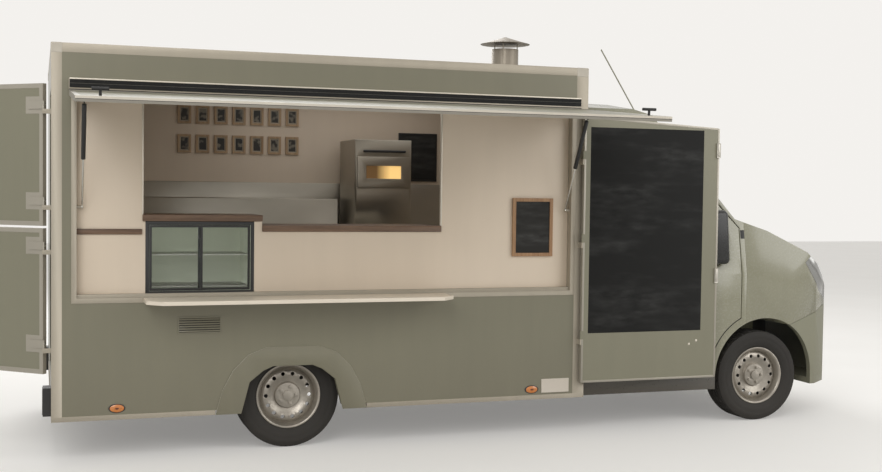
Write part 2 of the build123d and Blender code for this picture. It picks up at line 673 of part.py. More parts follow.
# Columns: name, low z, high z, heights of the hinges
leaves = [
    ("upper", rear_door_split + rear_door_split_gap / 2, rear_door_top, (1640, 2240)),
    ("lower", rear_door_bottom, rear_door_split - rear_door_split_gap / 2, (740, 1360)),
]
door_brackets = None
for name, low, high, hinges in leaves:
    leaf_x = (box_rear_x - 5 - rear_door_thickness, box_rear_x - 5)
    door = block(leaf_x, (door_hinge_y + 12, door_hinge_y + 12 + rear_door_width), (low, high))
    for z in hinges:
        door += rod((*door_axis, z), (*door_axis, z + 50), 7)
        door += block((door_axis_x, leaf_x[0]), (door_hinge_y - 3, door_hinge_y + 120), (z, z + 50))
        piece = block((door_axis_x - 7, box_rear_x), (door_hinge_y - 7, door_hinge_y + 4), (z - 30, z - seat_gap))
        door_brackets = piece if door_brackets is None else door_brackets + piece
    nodes["rear_door_" + name] = turn(door, (*door_axis, 0), (0, 0, 1), rear_door_rest)
nodes["edge_profiles"] = profiles + hinge_post + door_brackets

# Roof flue with its rain cap on stays, and the hood that it serves
flue = rod((flue_x, flue_y, box_top - 120), (flue_x, flue_y, flue_top), flue_radius)
flue -= rod((flue_x, flue_y, box_top - 90), (flue_x, flue_y, flue_top + 1), flue_radius - flue_wall)
flue += block((flue_x - 250, flue_x + 200), (flue_y - 250, flue_y + 250), (box_top - 260, box_top - 118))
cap_face = make_face(Polyline((0, cap_bottom, 0), (cap_radius, cap_bottom, 0), (cap_radius * 0.45, cap_bottom + 32, 0),
                              (0, cap_top, 0), close=True))
cap = Pos(flue_x, flue_y, 0) * Rot(90, 0, 0) * revolve(cap_face, axis=Axis.Y)
flue += cap
for angle in (0, 120, 240):
    sx = flue_x + (flue_radius - 2) * cos(radians(angle))
    sy = flue_y + (flue_radius - 2) * sin(radians(angle))
    flue += rod((sx, sy, flue_top - 60), (sx, sy, cap_bottom + 2), 4)
nodes["roof_flue"] = flue

# Cab: one hollow body made from its side, plan and front outlines, then split where the real panels meet
windscreen_foot = (-225.0, 1570.0)
windscreen_head = (-900.0, 2365.0)


def cab_solid(inset):
    """The cab's outer body drawn in by a wall thickness."""
    side = [
        (box_front_x - 1, cab_bottom), (box_front_x - 1, cab_roof_z), (-1150, cab_roof_z - 10), windscreen_head,
        windscreen_foot, (60, 1480), (420, 1310), (640, 1120), (760, 930), (cab_front_x, 700),
        (cab_front_x, 420), (cab_front_x - 50, cab_bottom),
    ]
    plan = [
        (box_front_x - 1, -cab_side), (260, -cab_side), (520, -990), (690, -860), (800, -560), (cab_front_x, -200),
        (cab_front_x, 200), (800, 560), (690, 860), (520, 990), (260, cab_side), (box_front_x - 1, cab_side),
    ]
    front = [
        (-cab_side, cab_bottom), (-cab_side, 1150), (-960, 1620), (-860, 2290), (-780, 2400), (-560, cab_roof_z),
        (560, cab_roof_z), (780, 2400), (860, 2290), (960, 1620), (cab_side, 1150), (cab_side, cab_bottom),
    ]
    side_face = make_face(Polyline(*[(x, z) for x, z in side], close=True))
    plan_face = make_face(Polyline(*[(x, y) for x, y in plan], close=True))
    front_face = make_face(Polyline(*[(y, z) for y, z in front], close=True))
    if inset:
        side_face = offset(side_face, amount=-inset, kind=Kind.INTERSECTION)
        plan_face = offset(plan_face, amount=-inset, kind=Kind.INTERSECTION)
        front_face = offset(front_face, amount=-inset, kind=Kind.INTERSECTION)
    body = extrude(Plane.XZ * side_face, amount=cab_width, both=True)
    body &= extrude(plan_face, amount=3000)
    body &= extrude(Plane.YZ * front_face, amount=6000, both=True)
    return body


outer = cab_solid(0)
inner = cab_solid(cab_wall)
shell = outer - inner
shell -= block((box_front_x - 10, box_front_x), (-cab_side - 10, cab_side + 10), (0, cab_roof_z + 10))
shell -= Pos(-cab_wall - 10, 0, 0) * inner
shell -= block((box_front_x, arch_x + 200), (cab_wall - cab_side, cab_side - cab_wall),
               (cab_bottom - 1, cab_bottom + cab_wall + 1))

arch_cut = rod((arch_x, -cab_side - 50, arch_z), (arch_x, -wheel_well_y, arch_z), arch_radius)
arch_cut += block((arch_x - arch_radius, arch_x + arch_radius), (-cab_side - 50, -wheel_well_y), (0, arch_z))
arch_cut = both_sides(arch_cut)
arch_body = rod((arch_x, -cab_side + cab_wall, arch_z), (arch_x, -wheel_well_y + arch_liner, arch_z),
                arch_radius + arch_liner)
arch_body = both_sides(arch_body) & block((-900, 900), (-1200, 1200), (cab_bottom + 30, 1200))

wing_panel = outer & arch_body
firewall_x = (-185.0, -150.0)
floor_slab = block((box_front_x, firewall_x[1]), (-940, 940), (cab_floor_top - 40, cab_floor_top))
sill_panels = both_sides(block((box_front_x, -420), (940, 980), (cab_bottom + cab_wall - 1, cab_floor_top)))
sill_panels += both_sides(block((box_front_x, -420), (979, 992), (cab_bottom + cab_wall - 1, door_bottom - 10)))
firewall = block(firewall_x, (-992, 992), (cab_floor_top - 40, 1485)) & outer
cab_floor = (floor_slab + sill_panels + firewall) - arch_cut
shell = shell + wing_panel - arch_cut - cab_floor

# Panel regions in side view
door_outline = [
    (door_front_x, door_bottom), (door_front_x, 1500), (-330, 1640), (-820, 2215), (-1180, 2250),
    (door_rear_x, 2180), (door_rear_x, door_bottom),
]
window_outline = [(-300, 1270), (-420, 1205), (-1160, 1160), (-1160, 2150), (-850, 2130), (-400, 1620), (-300, 1500)]
door_keepout = rod((arch_x, -1300, arch_z), (arch_x, 1300, arch_z), arch_radius + 60)
bonnet_plan = [(-205, -760), (640, -640), (760, -300), (760, 300), (640, 640), (-205, 760)]
bumper_side = [(arch_x + 200, cab_bottom - 10), (arch_x + 200, 740), (640, 880), (cab_front_x + 20, 880),
               (cab_front_x + 20, cab_bottom - 10)]
lamp_side = [(400, 1230), (470, 1300), (620, 1180), (790, 950), (740, 890), (560, 1010)]


def wider(outline, gap):
    """An outline grown by a gap on every side, as a face in its own plane."""
    face = make_face(Polyline(*outline, close=True))
    return offset(face, amount=gap, kind=Kind.INTERSECTION) if gap else face


def side_region(outline, gap, y):
    return Pos(0, y[0], 0) * extrude(Plane.XZ * wider(outline, gap), amount=-(y[1] - y[0]))


right_y = (-cab_side - 40, -600)
left_y = (600, cab_side + 40)
door_hole = (side_region(door_outline, cab_gap, right_y) + side_region(door_outline, cab_gap, left_y))
keepout_small = rod((arch_x, -1300, arch_z), (arch_x, 1300, arch_z), arch_radius + 60 - cab_gap)
cab_shell = shell - (door_hole - keepout_small)

bonnet_region = plan_prism(bonnet_plan, (1000, 1700))
bonnet_hole = extrude(Pos(0, 0, 1000) * wider(bonnet_plan, cab_gap), amount=700) - cab_solid(cab_wall + cab_gap)
windscreen_yz = [(-880, 1640), (-800, 2290), (800, 2290), (880, 1640)]
windscreen_region = front_prism(windscreen_yz, (-1000, -230))
lamp_region = side_region(lamp_side, 0, (-1100, -520)) + side_region(lamp_side, 0, (520, 1100))
bumper_region = side_region(bumper_side, 0, (-1100, 1100))
bumper_hole = side_region(bumper_side, 1, (-1100, 1100))
cab_shell -= bonnet_hole
cab_shell -= windscreen_region
cab_shell -= lamp_region
cab_shell -= bumper_hole
behind_wings = block((box_front_x - 10, firewall_x[1]), (-cab_side - 10, cab_side + 10), (0, cab_roof_z + 10))

skin = outer - inner
nodes["bonnet"] = skin & bonnet_region
nodes["headlamps"] = (skin - bonnet_hole - bumper_hole) & lamp_region
bumper = (skin & bumper_region) - arch_cut
nodes["front_bumper"] = bumper - bonnet_hole

glass_skin = cab_solid(glass_setback) - cab_solid(glass_setback + glass_thickness)
cab_hinge = (door_front_x, cab_side)
swing_reach = door_front_x - door_rear_x + cab_gap - hatch_clearance
door_swing = rod((*cab_hinge, cab_bottom), (*cab_hinge, cab_roof_z), swing_reach)
for name, y_range in (("right", right_y), ("left", left_y)):
    door = skin & side_region(door_outline, 0, y_range)
    door -= door_keepout
    pane = side_region(window_outline, 0, y_range)
    nodes["cab_door_" + name] = door - pane
nodes["cab_door_left"] &= door_swing
nodes["door_glass_left"] = glass_skin & side_region(window_outline, 0, left_y)
right_pane = glass_skin & side_region(window_outline, 0, right_y)
nodes["fixed_glass"] = fridge_panes + (glass_skin & windscreen_region) + right_pane

# Mirrors on the doors
for name, side in (("right", -1), ("left", 1)):
    y0, y1 = sorted((side * (cab_side + 12), side * (cab_side + 76)))
    head = block((-560, -345), (y0, y1), (1275, 1640))
    arm = rod((-340, side * (cab_side - 80), 1200), (-360, side * (cab_side + 45), 1290), 16)
    nodes["mirror_" + name] = (head + arm) - outer

# Dashboard, steering wheel and seats
dash = side_prism([(-185 - seat_gap, 900), (-185 - seat_gap, 1440), (-300, 1440), (-520, 1330), (-560, 1150),
                   (-420, 900)], (-900, 900))
column_top = (-700, 450, 1290)
wheel_plane = Plane(origin=column_top, z_dir=Vector(-1, 0, 1.1))
wheel_ring = wheel_plane * Torus(190, 14)
spokes = wheel_plane * (Box(380, 30, 12) + Cylinder(45, 30))
dash += rod((-400, 450, 1130), column_top, 30) + wheel_ring + spokes
nodes["dashboard"] = dash & inner
seat_side = [(-760, 560), (-720, 860), (-800, 920), (-1180, 880), (-1320, 1560), (-1420, 1540), (-1330, 860),
             (-1330, 560)]
seats = side_prism(seat_side, (230, 700)) + side_prism(seat_side, (-800, 100))
nodes["cab_seats"] = seats

# Lamps
tail = None
for side in (1, -1):
    y0, y1 = sorted((side * 940, side * 1060))
    piece = block((box_rear_x - 50, box_rear_x), (y0, y1), (303, 483))
    tail = piece if tail is None else tail + piece
amber = None
for side in (1, -1):
    for x in (-4840, -1963):
        y0, y1 = sorted((side * side_y, side * (side_y + 14)))
        piece = block((x - 52, x + 52), (y0, y1), (314, 372))
        amber = piece if amber is None else amber + piece
nodes["body_lamps"] = tail + amber
antenna = rod((-950, -700, 2370), (-1260, -700, 2850), 5)
nodes["cab_shell"] = (cab_shell & behind_wings) + (antenna - inner)
nodes["front_wings"] = cab_shell - behind_wings
nodes["cab_floor"] = cab_floor - door_hole
bonnet_axis_x = bonnet_plan[0][0]
bonnet_axis_z = 1564.0

# The origin is the middle of the whole truck's footprint as it stands
everything = Compound(children=[Part(node.wrapped) for node in nodes.values()])
extent = everything.bounding_box()
origin_x = (extent.min.X + extent.max.X) / 2
origin_y = (extent.min.Y + extent.max.Y) / 2
ground_z = extent.min.Z


if __name__ == "__main__":
    print("origin", round(origin_x, 2), round(origin_y, 2), round(ground_z, 3))
    print("extent", extent.size)
    for node_name, solid in nodes.items():
        export_step(Pos(-origin_x, -origin_y, -ground_z) * solid, os.path.join("parts", node_name + ".step"))
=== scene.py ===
"""A sage green food truck: an aluminium-edged box body with a long serving hatch, behind a van cab."""

import json
import math

import bpy
from mathutils import Matrix, Vector
from mathutils.bvhtree import BVHTree

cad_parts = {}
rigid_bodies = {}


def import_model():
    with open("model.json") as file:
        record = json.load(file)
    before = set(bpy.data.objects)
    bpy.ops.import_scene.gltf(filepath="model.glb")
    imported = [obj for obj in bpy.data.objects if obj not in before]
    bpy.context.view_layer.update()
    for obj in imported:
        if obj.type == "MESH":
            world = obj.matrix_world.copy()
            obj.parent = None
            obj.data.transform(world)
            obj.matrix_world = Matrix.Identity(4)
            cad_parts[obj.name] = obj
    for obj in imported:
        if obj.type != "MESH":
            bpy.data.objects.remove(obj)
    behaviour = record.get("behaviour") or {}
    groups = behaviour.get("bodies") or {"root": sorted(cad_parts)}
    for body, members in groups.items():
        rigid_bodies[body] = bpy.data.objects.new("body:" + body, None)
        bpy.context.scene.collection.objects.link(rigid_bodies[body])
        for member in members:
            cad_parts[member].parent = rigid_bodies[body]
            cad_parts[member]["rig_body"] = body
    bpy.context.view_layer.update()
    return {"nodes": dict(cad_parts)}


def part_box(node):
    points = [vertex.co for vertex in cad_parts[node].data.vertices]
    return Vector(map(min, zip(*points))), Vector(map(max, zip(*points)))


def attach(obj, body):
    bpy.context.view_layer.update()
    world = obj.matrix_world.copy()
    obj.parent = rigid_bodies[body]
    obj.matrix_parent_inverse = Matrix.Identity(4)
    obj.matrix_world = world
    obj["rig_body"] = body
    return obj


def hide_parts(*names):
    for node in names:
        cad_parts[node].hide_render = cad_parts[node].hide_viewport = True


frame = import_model()
nodes = frame["nodes"]

# Chassis rails, cross members, axles and the parts under the floor. Pressed and welded
# steel, painted chassis black, with road dust baked on. All of it bolts up from below.
weld_gap = 0.00002
flat_angle = math.radians(0.5)
sharp_angle = math.radians(38)


def open_group(name, inputs, outputs):
    """A node group with named sockets, the inputs given as (name, kind, default)."""
    group = bpy.data.node_groups.new(name, "ShaderNodeTree")
    for socket_name, kind, default in inputs:
        socket = group.interface.new_socket(socket_name, in_out="INPUT", socket_type="NodeSocket" + kind)
        socket.default_value = default
    for socket_name, kind in outputs:
        group.interface.new_socket(socket_name, in_out="OUTPUT", socket_type="NodeSocket" + kind)
    return group, group.nodes.new("NodeGroupInput"), group.nodes.new("NodeGroupOutput")


def add_node(tree, kind, **settings):
    """A shader node with its own settings already made."""
    node = tree.nodes.new("ShaderNode" + kind)
    for key, value in settings.items():
        setattr(node, key, value)
    return node


def feed(tree, socket, value):
    """Links a socket to another one, or sets it to a number, a plain colour or a vector."""
    if isinstance(value, bpy.types.NodeSocket):
        tree.links.new(value, socket)
    elif socket.type == "RGBA":
        socket.default_value = (*value, 1.0)
    else:
        socket.default_value = value


def mixed(tree, factor, first, second):
    """The colour that a Mix node makes of two colours."""
    mix = add_node(tree, "Mix", data_type="RGBA")
    for index, value in ((0, factor), (6, first), (7, second)):
        feed(tree, mix.inputs[index], value)
    return mix.outputs[2]


def ramped(tree, value, low, high, to_low=0.0, to_high=1.0):
    """A value mapped from one range to another and held there."""
    remap = add_node(tree, "MapRange")
    for socket, given in zip(remap.inputs, (value, low, high, to_low, to_high)):
        feed(tree, socket, given)
    return remap.outputs[0]


def reckoned(tree, operation, *values):
    """What a Math node makes of its values."""
    node = add_node(tree, "Math", operation=operation)
    for socket, value in zip(node.inputs, values):
        feed(tree, socket, value)
    return node.outputs[0]


def noise_on(tree, scale, detail=3.0, stretch=(1.0, 1.0, 1.0)):
    """Noise over the object, drawn out along an axis where stretch is small."""
    mapping = add_node(tree, "Mapping")
    texture = add_node(tree, "TexNoise")
    tree.links.new(add_node(tree, "TexCoord").outputs["Object"], mapping.inputs["Vector"])
    tree.links.new(mapping.outputs["Vector"], texture.inputs["Vector"])
    feed(tree, mapping.inputs["Scale"], stretch)
    feed(tree, texture.inputs["Scale"], scale)
    feed(tree, texture.inputs["Detail"], detail)
    return texture.outputs["Fac"]


def place_along(tree, axis):
    """How far a point of the surface lies along one axis of the object."""
    split = add_node(tree, "SeparateXYZ")
    tree.links.new(add_node(tree, "TexCoord").outputs["Object"], split.inputs[0])
    return split.outputs[axis]


def surface_finish(name, group, values, relief, depth, constants):
    """A material with its own constants, and what changes over it from one node group."""
    material = bpy.data.materials.new(name)
    material.use_nodes = True
    tree = material.node_tree
    shader = tree.nodes["Principled BSDF"]
    for key, value in constants.items():
        shader.inputs[key].default_value = value
    surface = add_node(tree, "Group", node_tree=group)
    surface.name = "surface"
    for key, value in values.items():
        feed(tree, surface.inputs[key], value)
    bump = add_node(tree, "Bump")
    bump.inputs["Strength"].default_value = relief
    bump.inputs["Distance"].default_value = depth
    tree.links.new(surface.outputs["Colour"], shader.inputs["Base Color"])
    if "Roughness" in surface.outputs:
        tree.links.new(surface.outputs["Roughness"], shader.inputs["Roughness"])
    tree.links.new(surface.outputs["Height"], bump.inputs["Height"])
    tree.links.new(bump.outputs["Normal"], shader.inputs["Normal"])
    return material


coat_group, coat_in, coat_out = open_group(
    "weathered coat",
    [("Colour", "Color", (0.5, 0.5, 0.5, 1)), ("Shade", "Float", 0.1), ("Roughness", "Float", 0.4),
     ("Dust Colour", "Color", (0.16, 0.13, 0.10, 1)), ("Dust", "Float", 0.3), ("Dust Height", "Float", 0.7),
     ("Peel", "Float", 160.0)],
    [("Colour", "Color"), ("Roughness", "Float"), ("Height", "Float")])
coat_clouds = noise_on(coat_group, 1.3, 4.0)
coat_runs = noise_on(coat_group, 9.0, 2.0, (1.0, 1.0, 0.12))
coat_specks = noise_on(coat_group, 60.0, 4.0)
coat_tone = ramped(coat_group, reckoned(coat_group, "MULTIPLY_ADD", coat_clouds, 0.6, coat_runs), 0.35, 1.25)
coat_dark = reckoned(coat_group, "MULTIPLY", coat_tone, coat_in.outputs["Shade"])
coat_shaded = mixed(coat_group, coat_dark, coat_in.outputs["Colour"], (0.03, 0.03, 0.025))
coat_low = ramped(coat_group, place_along(coat_group, "Z"), 0.0, coat_in.outputs["Dust Height"], 1.0, 0.0)
coat_film = reckoned(coat_group, "MULTIPLY", coat_low, ramped(coat_group, coat_specks, 0.3, 0.7, 0.4, 1.0))
coat_dust = reckoned(coat_group, "MULTIPLY", coat_film, coat_in.outputs["Dust"])
coat_rough = reckoned(coat_group, "MULTIPLY_ADD", ramped(coat_group, coat_specks, 0.2, 0.8, 0.93, 1.07),
                      coat_in.outputs["Roughness"], ramped(coat_group, coat_dust, 0.0, 1.0, 0.0, 0.35))
feed(coat_group, coat_out.inputs["Colour"],
     mixed(coat_group, coat_dust, coat_shaded, coat_in.outputs["Dust Colour"]))
feed(coat_group, coat_out.inputs["Roughness"], coat_rough)
feed(coat_group, coat_out.inputs["Height"], noise_on(coat_group, coat_in.outputs["Peel"], 2.0))


def coated(name, colour, roughness, shade=0.1, dust=0.3, dust_height=0.7, peel=160.0, bump=0.04, metallic=0.0,
           clear_coat=0.0):
    """A coated surface: paint, plastic or anodising, with its own colour, wear and peel."""
    return surface_finish(name, coat_group,
                          {"Colour": colour, "Shade": shade, "Roughness": roughness, "Dust": dust,
                           "Dust Height": dust_height, "Peel": peel},
                          bump, 0.002,
                          {"Metallic": metallic, "Coat Weight": clear_coat, "Coat Roughness": 0.12})


def dress(node_names, material, rounding=0.0):
    """Gives CAD nodes their finish, and rounds their sharp edges with live modifiers."""
    for node_name in node_names:
        node = nodes[node_name]
        node.data.materials.clear()
        node.data.materials.append(material)
        if rounding:
            weld = node.modifiers.new("weld", "WELD")
            weld.merge_threshold = weld_gap
            planar = node.modifiers.new("planar", "DECIMATE")
            planar.decimate_type = "DISSOLVE"
            planar.angle_limit = flat_angle
            planar.delimit = {"MATERIAL"}
            bevel = node.modifiers.new("rounding", "BEVEL")
            bevel.width = rounding
            bevel.segments = 2
            bevel.limit_method = "ANGLE"
            bevel.angle_limit = sharp_angle
            bevel.harden_normals = True
            for face in node.data.polygons:
                face.use_smooth = True


def paint_faces(mesh, material, chosen):
    """Gives the faces that a rule picks by centre and normal a finish of their own."""
    mesh.materials.append(material)
    for face in mesh.polygons:
        if chosen(face.center, face.normal):
            face.material_index = len(mesh.materials) - 1


chassis_black = coated("chassis black", (0.018, 0.018, 0.018), 0.55, shade=0.3, dust=0.75, dust_height=0.9,
                       bump=0.2)
dress(["chassis_rails", "cross_members", "floor_bearers", "front_axle", "rear_axle", "cab_floor"],
      chassis_black, 0.003)
cast_grey = coated("raw casting", (0.10, 0.10, 0.10), 0.6, shade=0.4, dust=0.6, peel=90.0, bump=0.4,
                   metallic=0.6)
dress(["engine_block", "knuckle_left", "knuckle_right"], cast_grey, 0.004)
tank_black = coated("tank black", (0.02, 0.02, 0.02), 0.5, dust=0.7, dust_height=0.8)
dress(["tank_and_exhaust"], tank_black, 0.02)

# Wheels. Sixteen-inch pressed steel rims painted silver, with a ring of vents and five
# bolts, and black van tyres with four grooves and sipes. The tyres are moulded rubber.
wheel_low, wheel_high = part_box("tyre_rear_right")
tyre_radius = (wheel_high.z - wheel_low.z) / 2
tyre_half = (wheel_high.y - wheel_low.y) / 2
tyre_steps = 90
edge_angle = math.radians(30)
bead_radius = 0.221
groove_depth = 0.008
groove_floor = tyre_radius - groove_depth
groove_half = 0.0045
shoulder_drop = 0.006
shoulder_half = 0.88 * tyre_half
tread_half = 0.74 * tyre_half
sipe_every = 3
vent_ring = (0.13, 0.172)
hub_radius = 0.035
disc_front = 0.030


def make_active(piece):
    """Selects one piece alone."""
    bpy.ops.object.select_all(action="DESELECT")
    piece.select_set(True)
    bpy.context.view_layer.objects.active = piece


def lathe(name, centre, axis, profile, steps):
    """A turned piece: a profile of (radius, distance along the axis) points spun round."""
    axis = Vector(axis).normalized()
    out = axis.orthogonal().normalized()
    places = [Vector(centre) + out * radius + axis * along for radius, along in profile]
    bpy.ops.object.select_all(action="DESELECT")
    bpy.ops.mesh.primitive_plane_add(size=0.001, location=places[0])
    piece = bpy.context.object
    piece.name = name
    bpy.ops.object.transform_apply(location=True, rotation=True, scale=True)
    bpy.ops.object.mode_set(mode="EDIT")
    bpy.ops.mesh.select_mode(type="VERT")
    bpy.ops.mesh.select_all(action="SELECT")
    bpy.ops.mesh.merge(type="CENTER")
    for before, after in zip(places, places[1:]):
        bpy.ops.mesh.extrude_vertices_move(TRANSFORM_OT_translate={"value": after - before})
    bpy.ops.mesh.select_all(action="SELECT")
    bpy.ops.mesh.spin(steps=steps, angle=2 * math.pi, center=centre, axis=axis)
    bpy.ops.mesh.select_all(action="SELECT")
    bpy.ops.mesh.remove_doubles(threshold=weld_gap / 2)
    bpy.ops.mesh.normals_make_consistent(inside=False)
    bpy.ops.object.mode_set(mode="OBJECT")
    return piece


def pick_faces(piece, chosen):
    """Goes into edit mode with only the faces selected that a rule picks by centre and normal."""
    bpy.context.view_layer.objects.active = piece
    bpy.ops.object.mode_set(mode="EDIT")
    bpy.ops.mesh.select_mode(type="FACE")
    bpy.ops.mesh.select_all(action="DESELECT")
    bpy.ops.object.mode_set(mode="OBJECT")
    for face in piece.data.polygons:
        face.select = chosen(face.center, face.normal)
    bpy.ops.object.mode_set(mode="EDIT")


def finish_piece(piece, material, body, bevel=0.0, segments=2, angle=32.0):
    """Rounds a piece's edges, shades it, gives it its finish and lets it ride on its body."""
    bpy.ops.object.mode_set(mode="OBJECT")
    make_active(piece)
    if bevel:
        rounding = piece.modifiers.new("rounding", "BEVEL")
        rounding.width = bevel
        rounding.segments = segments
        rounding.limit_method = "ANGLE"
        rounding.angle_limit = edge_angle
        bpy.ops.object.modifier_apply(modifier=rounding.name)
    bpy.ops.object.shade_smooth_by_angle(angle=math.radians(angle))
    piece.data.materials.clear()
    piece.data.materials.append(material)
    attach(piece, body)


def copied(piece, name, shift):
    """A copy with its own mesh, moved."""
    twin = piece.copy()
    twin.data = piece.data.copy()
    twin.name = name
    bpy.context.collection.objects.link(twin)
    twin.data.transform(Matrix.Translation(shift))
    return twin


tyre_black = coated("tyre rubber", (0.016, 0.014, 0.012), 0.75, shade=0.2, dust=0.10, dust_height=0.8,
                    peel=240.0, bump=0.15)
rim_silver = coated("rim silver", (0.50, 0.46, 0.40), 0.3, shade=0.45, dust=0.4, dust_height=0.75,
                    metallic=0.7, bump=0.02)
# Painted shade: a dark finish for the rims' vent walls and the back of the disc, where shade falls.
rim_painted_shade = coated("rim painted shade", (0.05, 0.045, 0.04), 0.7, shade=0.5, dust=0.4)
tread = [(tyre_radius - shoulder_drop, -shoulder_half), (tyre_radius, -tread_half)]
for groove_share in (-0.52, -0.18, 0.18, 0.52):
    groove_y = groove_share * tyre_half
    tread += [(tyre_radius, groove_y - groove_half), (groove_floor, groove_y - 0.7 * groove_half),
              (groove_floor, groove_y + 0.7 * groove_half), (tyre_radius, groove_y + groove_half)]
tread += [(tyre_radius, tread_half), (tyre_radius - shoulder_drop, shoulder_half)]
# Columns: radius, distance from the middle. From the shoulder over the moulded rim line to the bead.
side_wall = [(tyre_radius - 0.024, 0.95 * tyre_half), (0.300, tyre_half), (0.297, tyre_half - 0.0015),
             (0.281, tyre_half), (0.262, 0.975 * tyre_half), (0.259, 0.965 * tyre_half),
             (0.244, 0.93 * tyre_half), (bead_radius + 0.004, 0.85 * tyre_half),
             (bead_radius, 0.80 * tyre_half)]
tyre_profile = [(radius, -along) for radius, along in reversed(side_wall)] + tread + side_wall
tyre_profile.append(tyre_profile[0])
wheel_places = {}
for corner in ("rear_right", "rear_left", "front_right", "front_left"):
    low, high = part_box("tyre_" + corner)
    wheel_places[corner] = (low + high) / 2
hub_place = wheel_places["rear_right"]
first_tyre = lathe("rubber_rear_right", hub_place, (0, 1, 0), tyre_profile, tyre_steps)


def is_sipe(centre, normal):
    """One piece in a few of each tread rib."""
    step = 360 / tyre_steps
    turned = math.degrees(math.atan2(centre.z - hub_place.z, centre.x - hub_place.x)) % (sipe_every * step)
    on_tread = (centre - hub_place).xz.length > tyre_radius - 0.5 * groove_depth
    return turned < step and on_tread and abs(centre.y - hub_place.y) < 0.86 * tyre_half


pick_faces(first_tyre, is_sipe)
bpy.ops.mesh.inset(thickness=0.003, depth=-0.005, use_individual=True)
bpy.ops.object.mode_set(mode="OBJECT")
for corner, place in wheel_places.items():
    rubber = first_tyre
    if corner != "rear_right":
        rubber = copied(first_tyre, "rubber_" + corner, place - hub_place)
    finish_piece(rubber, tyre_black, "wheel_" + corner, angle=40.0)
    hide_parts("tyre_" + corner)
    dress(["rim_" + corner], rim_silver, 0.0015)
    outward = 1 if "left" in corner else -1

    def in_rim_shade(centre, normal, place=place, outward=outward):
        """The vents' walls and the back of the disc, which get painted shade."""
        out = (centre - place).xz.length
        on_vent_wall = vent_ring[0] < out < vent_ring[1] and abs(normal.y) < 0.3
        return on_vent_wall or (centre.y - place.y) * outward < disc_front and out > hub_radius

    paint_faces(nodes["rim_" + corner].data, rim_painted_shade, in_rim_shade)

# Body panels of the box. Glass-fibre faced sandwich sheets painted sage green outside and
# white inside, glued into the aluminium edge profiles. The wheel flares are moulded on.
wall_low, wall_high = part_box("box_wall_right")
far_low, far_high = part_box("box_wall_left")
rear_face_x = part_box("box_rear_wall")[0].x
axle_x = wheel_places["front_right"].x
centre_y = (wheel_places["front_right"].y + wheel_places["front_left"].y) / 2
flare_middle = Vector((wheel_places["rear_right"].x, 0, 0.28))
flare_radius = 0.40
flare_depth = 0.005


def facing(x, y, z):
    """A rule that picks the faces that look one way."""
    way = Vector((x, y, z))
    return lambda centre, normal: normal.dot(way) > 0.9


def is_flare_edge(centre, normal):
    """The flares' rounded rim faces, which get a painted highlight that shows the flares against the wall."""
    stands_out = abs(normal.y) < 0.5 and centre.y < wall_low.y + flare_depth
    return stands_out and (centre - flare_middle).xz.length > flare_radius


sage = coated("sage paint", (0.198, 0.186, 0.128), 0.36, shade=0.12, dust=0.30, dust_height=0.75, bump=0.03,
              clear_coat=0.3)
liner_white = coated("white panel", (0.72, 0.61, 0.485), 0.45, shade=0.06, dust=0.0, bump=0.01)
flare_painted_highlight = coated("edge highlight", (0.48, 0.46, 0.38), 0.35, dust=0.1)
roof_white = coated("roof white", (0.52, 0.50, 0.46), 0.5, shade=0.3, dust=0.0)
floor_grey = coated("floor grey", (0.10, 0.10, 0.10), 0.7, shade=0.2, dust=0.2, peel=40.0, bump=0.3)
# Columns: node, its outer finish, the way its inner face looks
for panel_name, outer_finish, inner_way in (
        ("box_wall_right", sage, (0, 1, 0)), ("box_wall_left", sage, (0, -1, 0)),
        ("box_front_wall", sage, (-1, 0, 0)), ("box_rear_wall", sage, (1, 0, 0)),
        ("box_roof", roof_white, (0, 0, -1))):
    dress([panel_name], outer_finish)
    paint_faces(nodes[panel_name].data, liner_white, facing(*inner_way))
dress(["rear_arches"], sage, 0.003)
# A painted highlight along the rounded rim of the wheel flares.
paint_faces(nodes["rear_arches"].data, flare_painted_highlight, is_flare_edge)
dress(["box_floor"], floor_grey)

# Vent grille low in the serving side: a pressed frame with six louvres, painted with the wall, and a dark
# sheet behind them, painted shade for the vent's inside. It clips into a cut in the panel.
vent_low = Vector((axle_x - 4.461, wall_low.y, 0.809))
vent_high = Vector((axle_x - 4.177, wall_low.y, 0.921))
vent_margin = 0.010
shade_sheet_margin = 0.004
louvre_count = 6
louvre_half = 0.0045
louvre_lean = 0.003


def start_box(name, low, high):
    """A cube drawn out between two corners, the start of a bar or a plate."""
    bpy.ops.object.select_all(action="DESELECT")
    bpy.ops.mesh.primitive_cube_add(size=1.0, location=(Vector(low) + Vector(high)) / 2)
    piece = bpy.context.object
    piece.name = name
    piece.scale = [abs(b - a) for a, b in zip(low, high)]
    bpy.ops.object.transform_apply(location=True, rotation=True, scale=True)
    return piece


def shaped_bar(name, low, high, look, insets, material, body="truck_body", bevel=0.0, segments=2):
    """A bar or plate between two corners, its face to one side worked by insets of (width, depth)."""
    bar = start_box(name, low, high)
    pick_faces(bar, facing(*look))
    for thickness, depth in insets:
        bpy.ops.mesh.inset(thickness=thickness, depth=depth)
    finish_piece(bar, material, body, bevel, segments)
    return bar


def open_frame(name, low, high, rail, material, bevel):
    """A flat frame that faces the customers: a plate cut through inside its rails."""
    border = start_box(name, low, high)
    pick_faces(border, lambda centre, normal: abs(normal.y) > 0.9)
    bpy.ops.mesh.inset(thickness=rail, depth=0.0)
    bpy.ops.mesh.bridge_edge_loops()
    finish_piece(border, material, "truck_body", bevel)
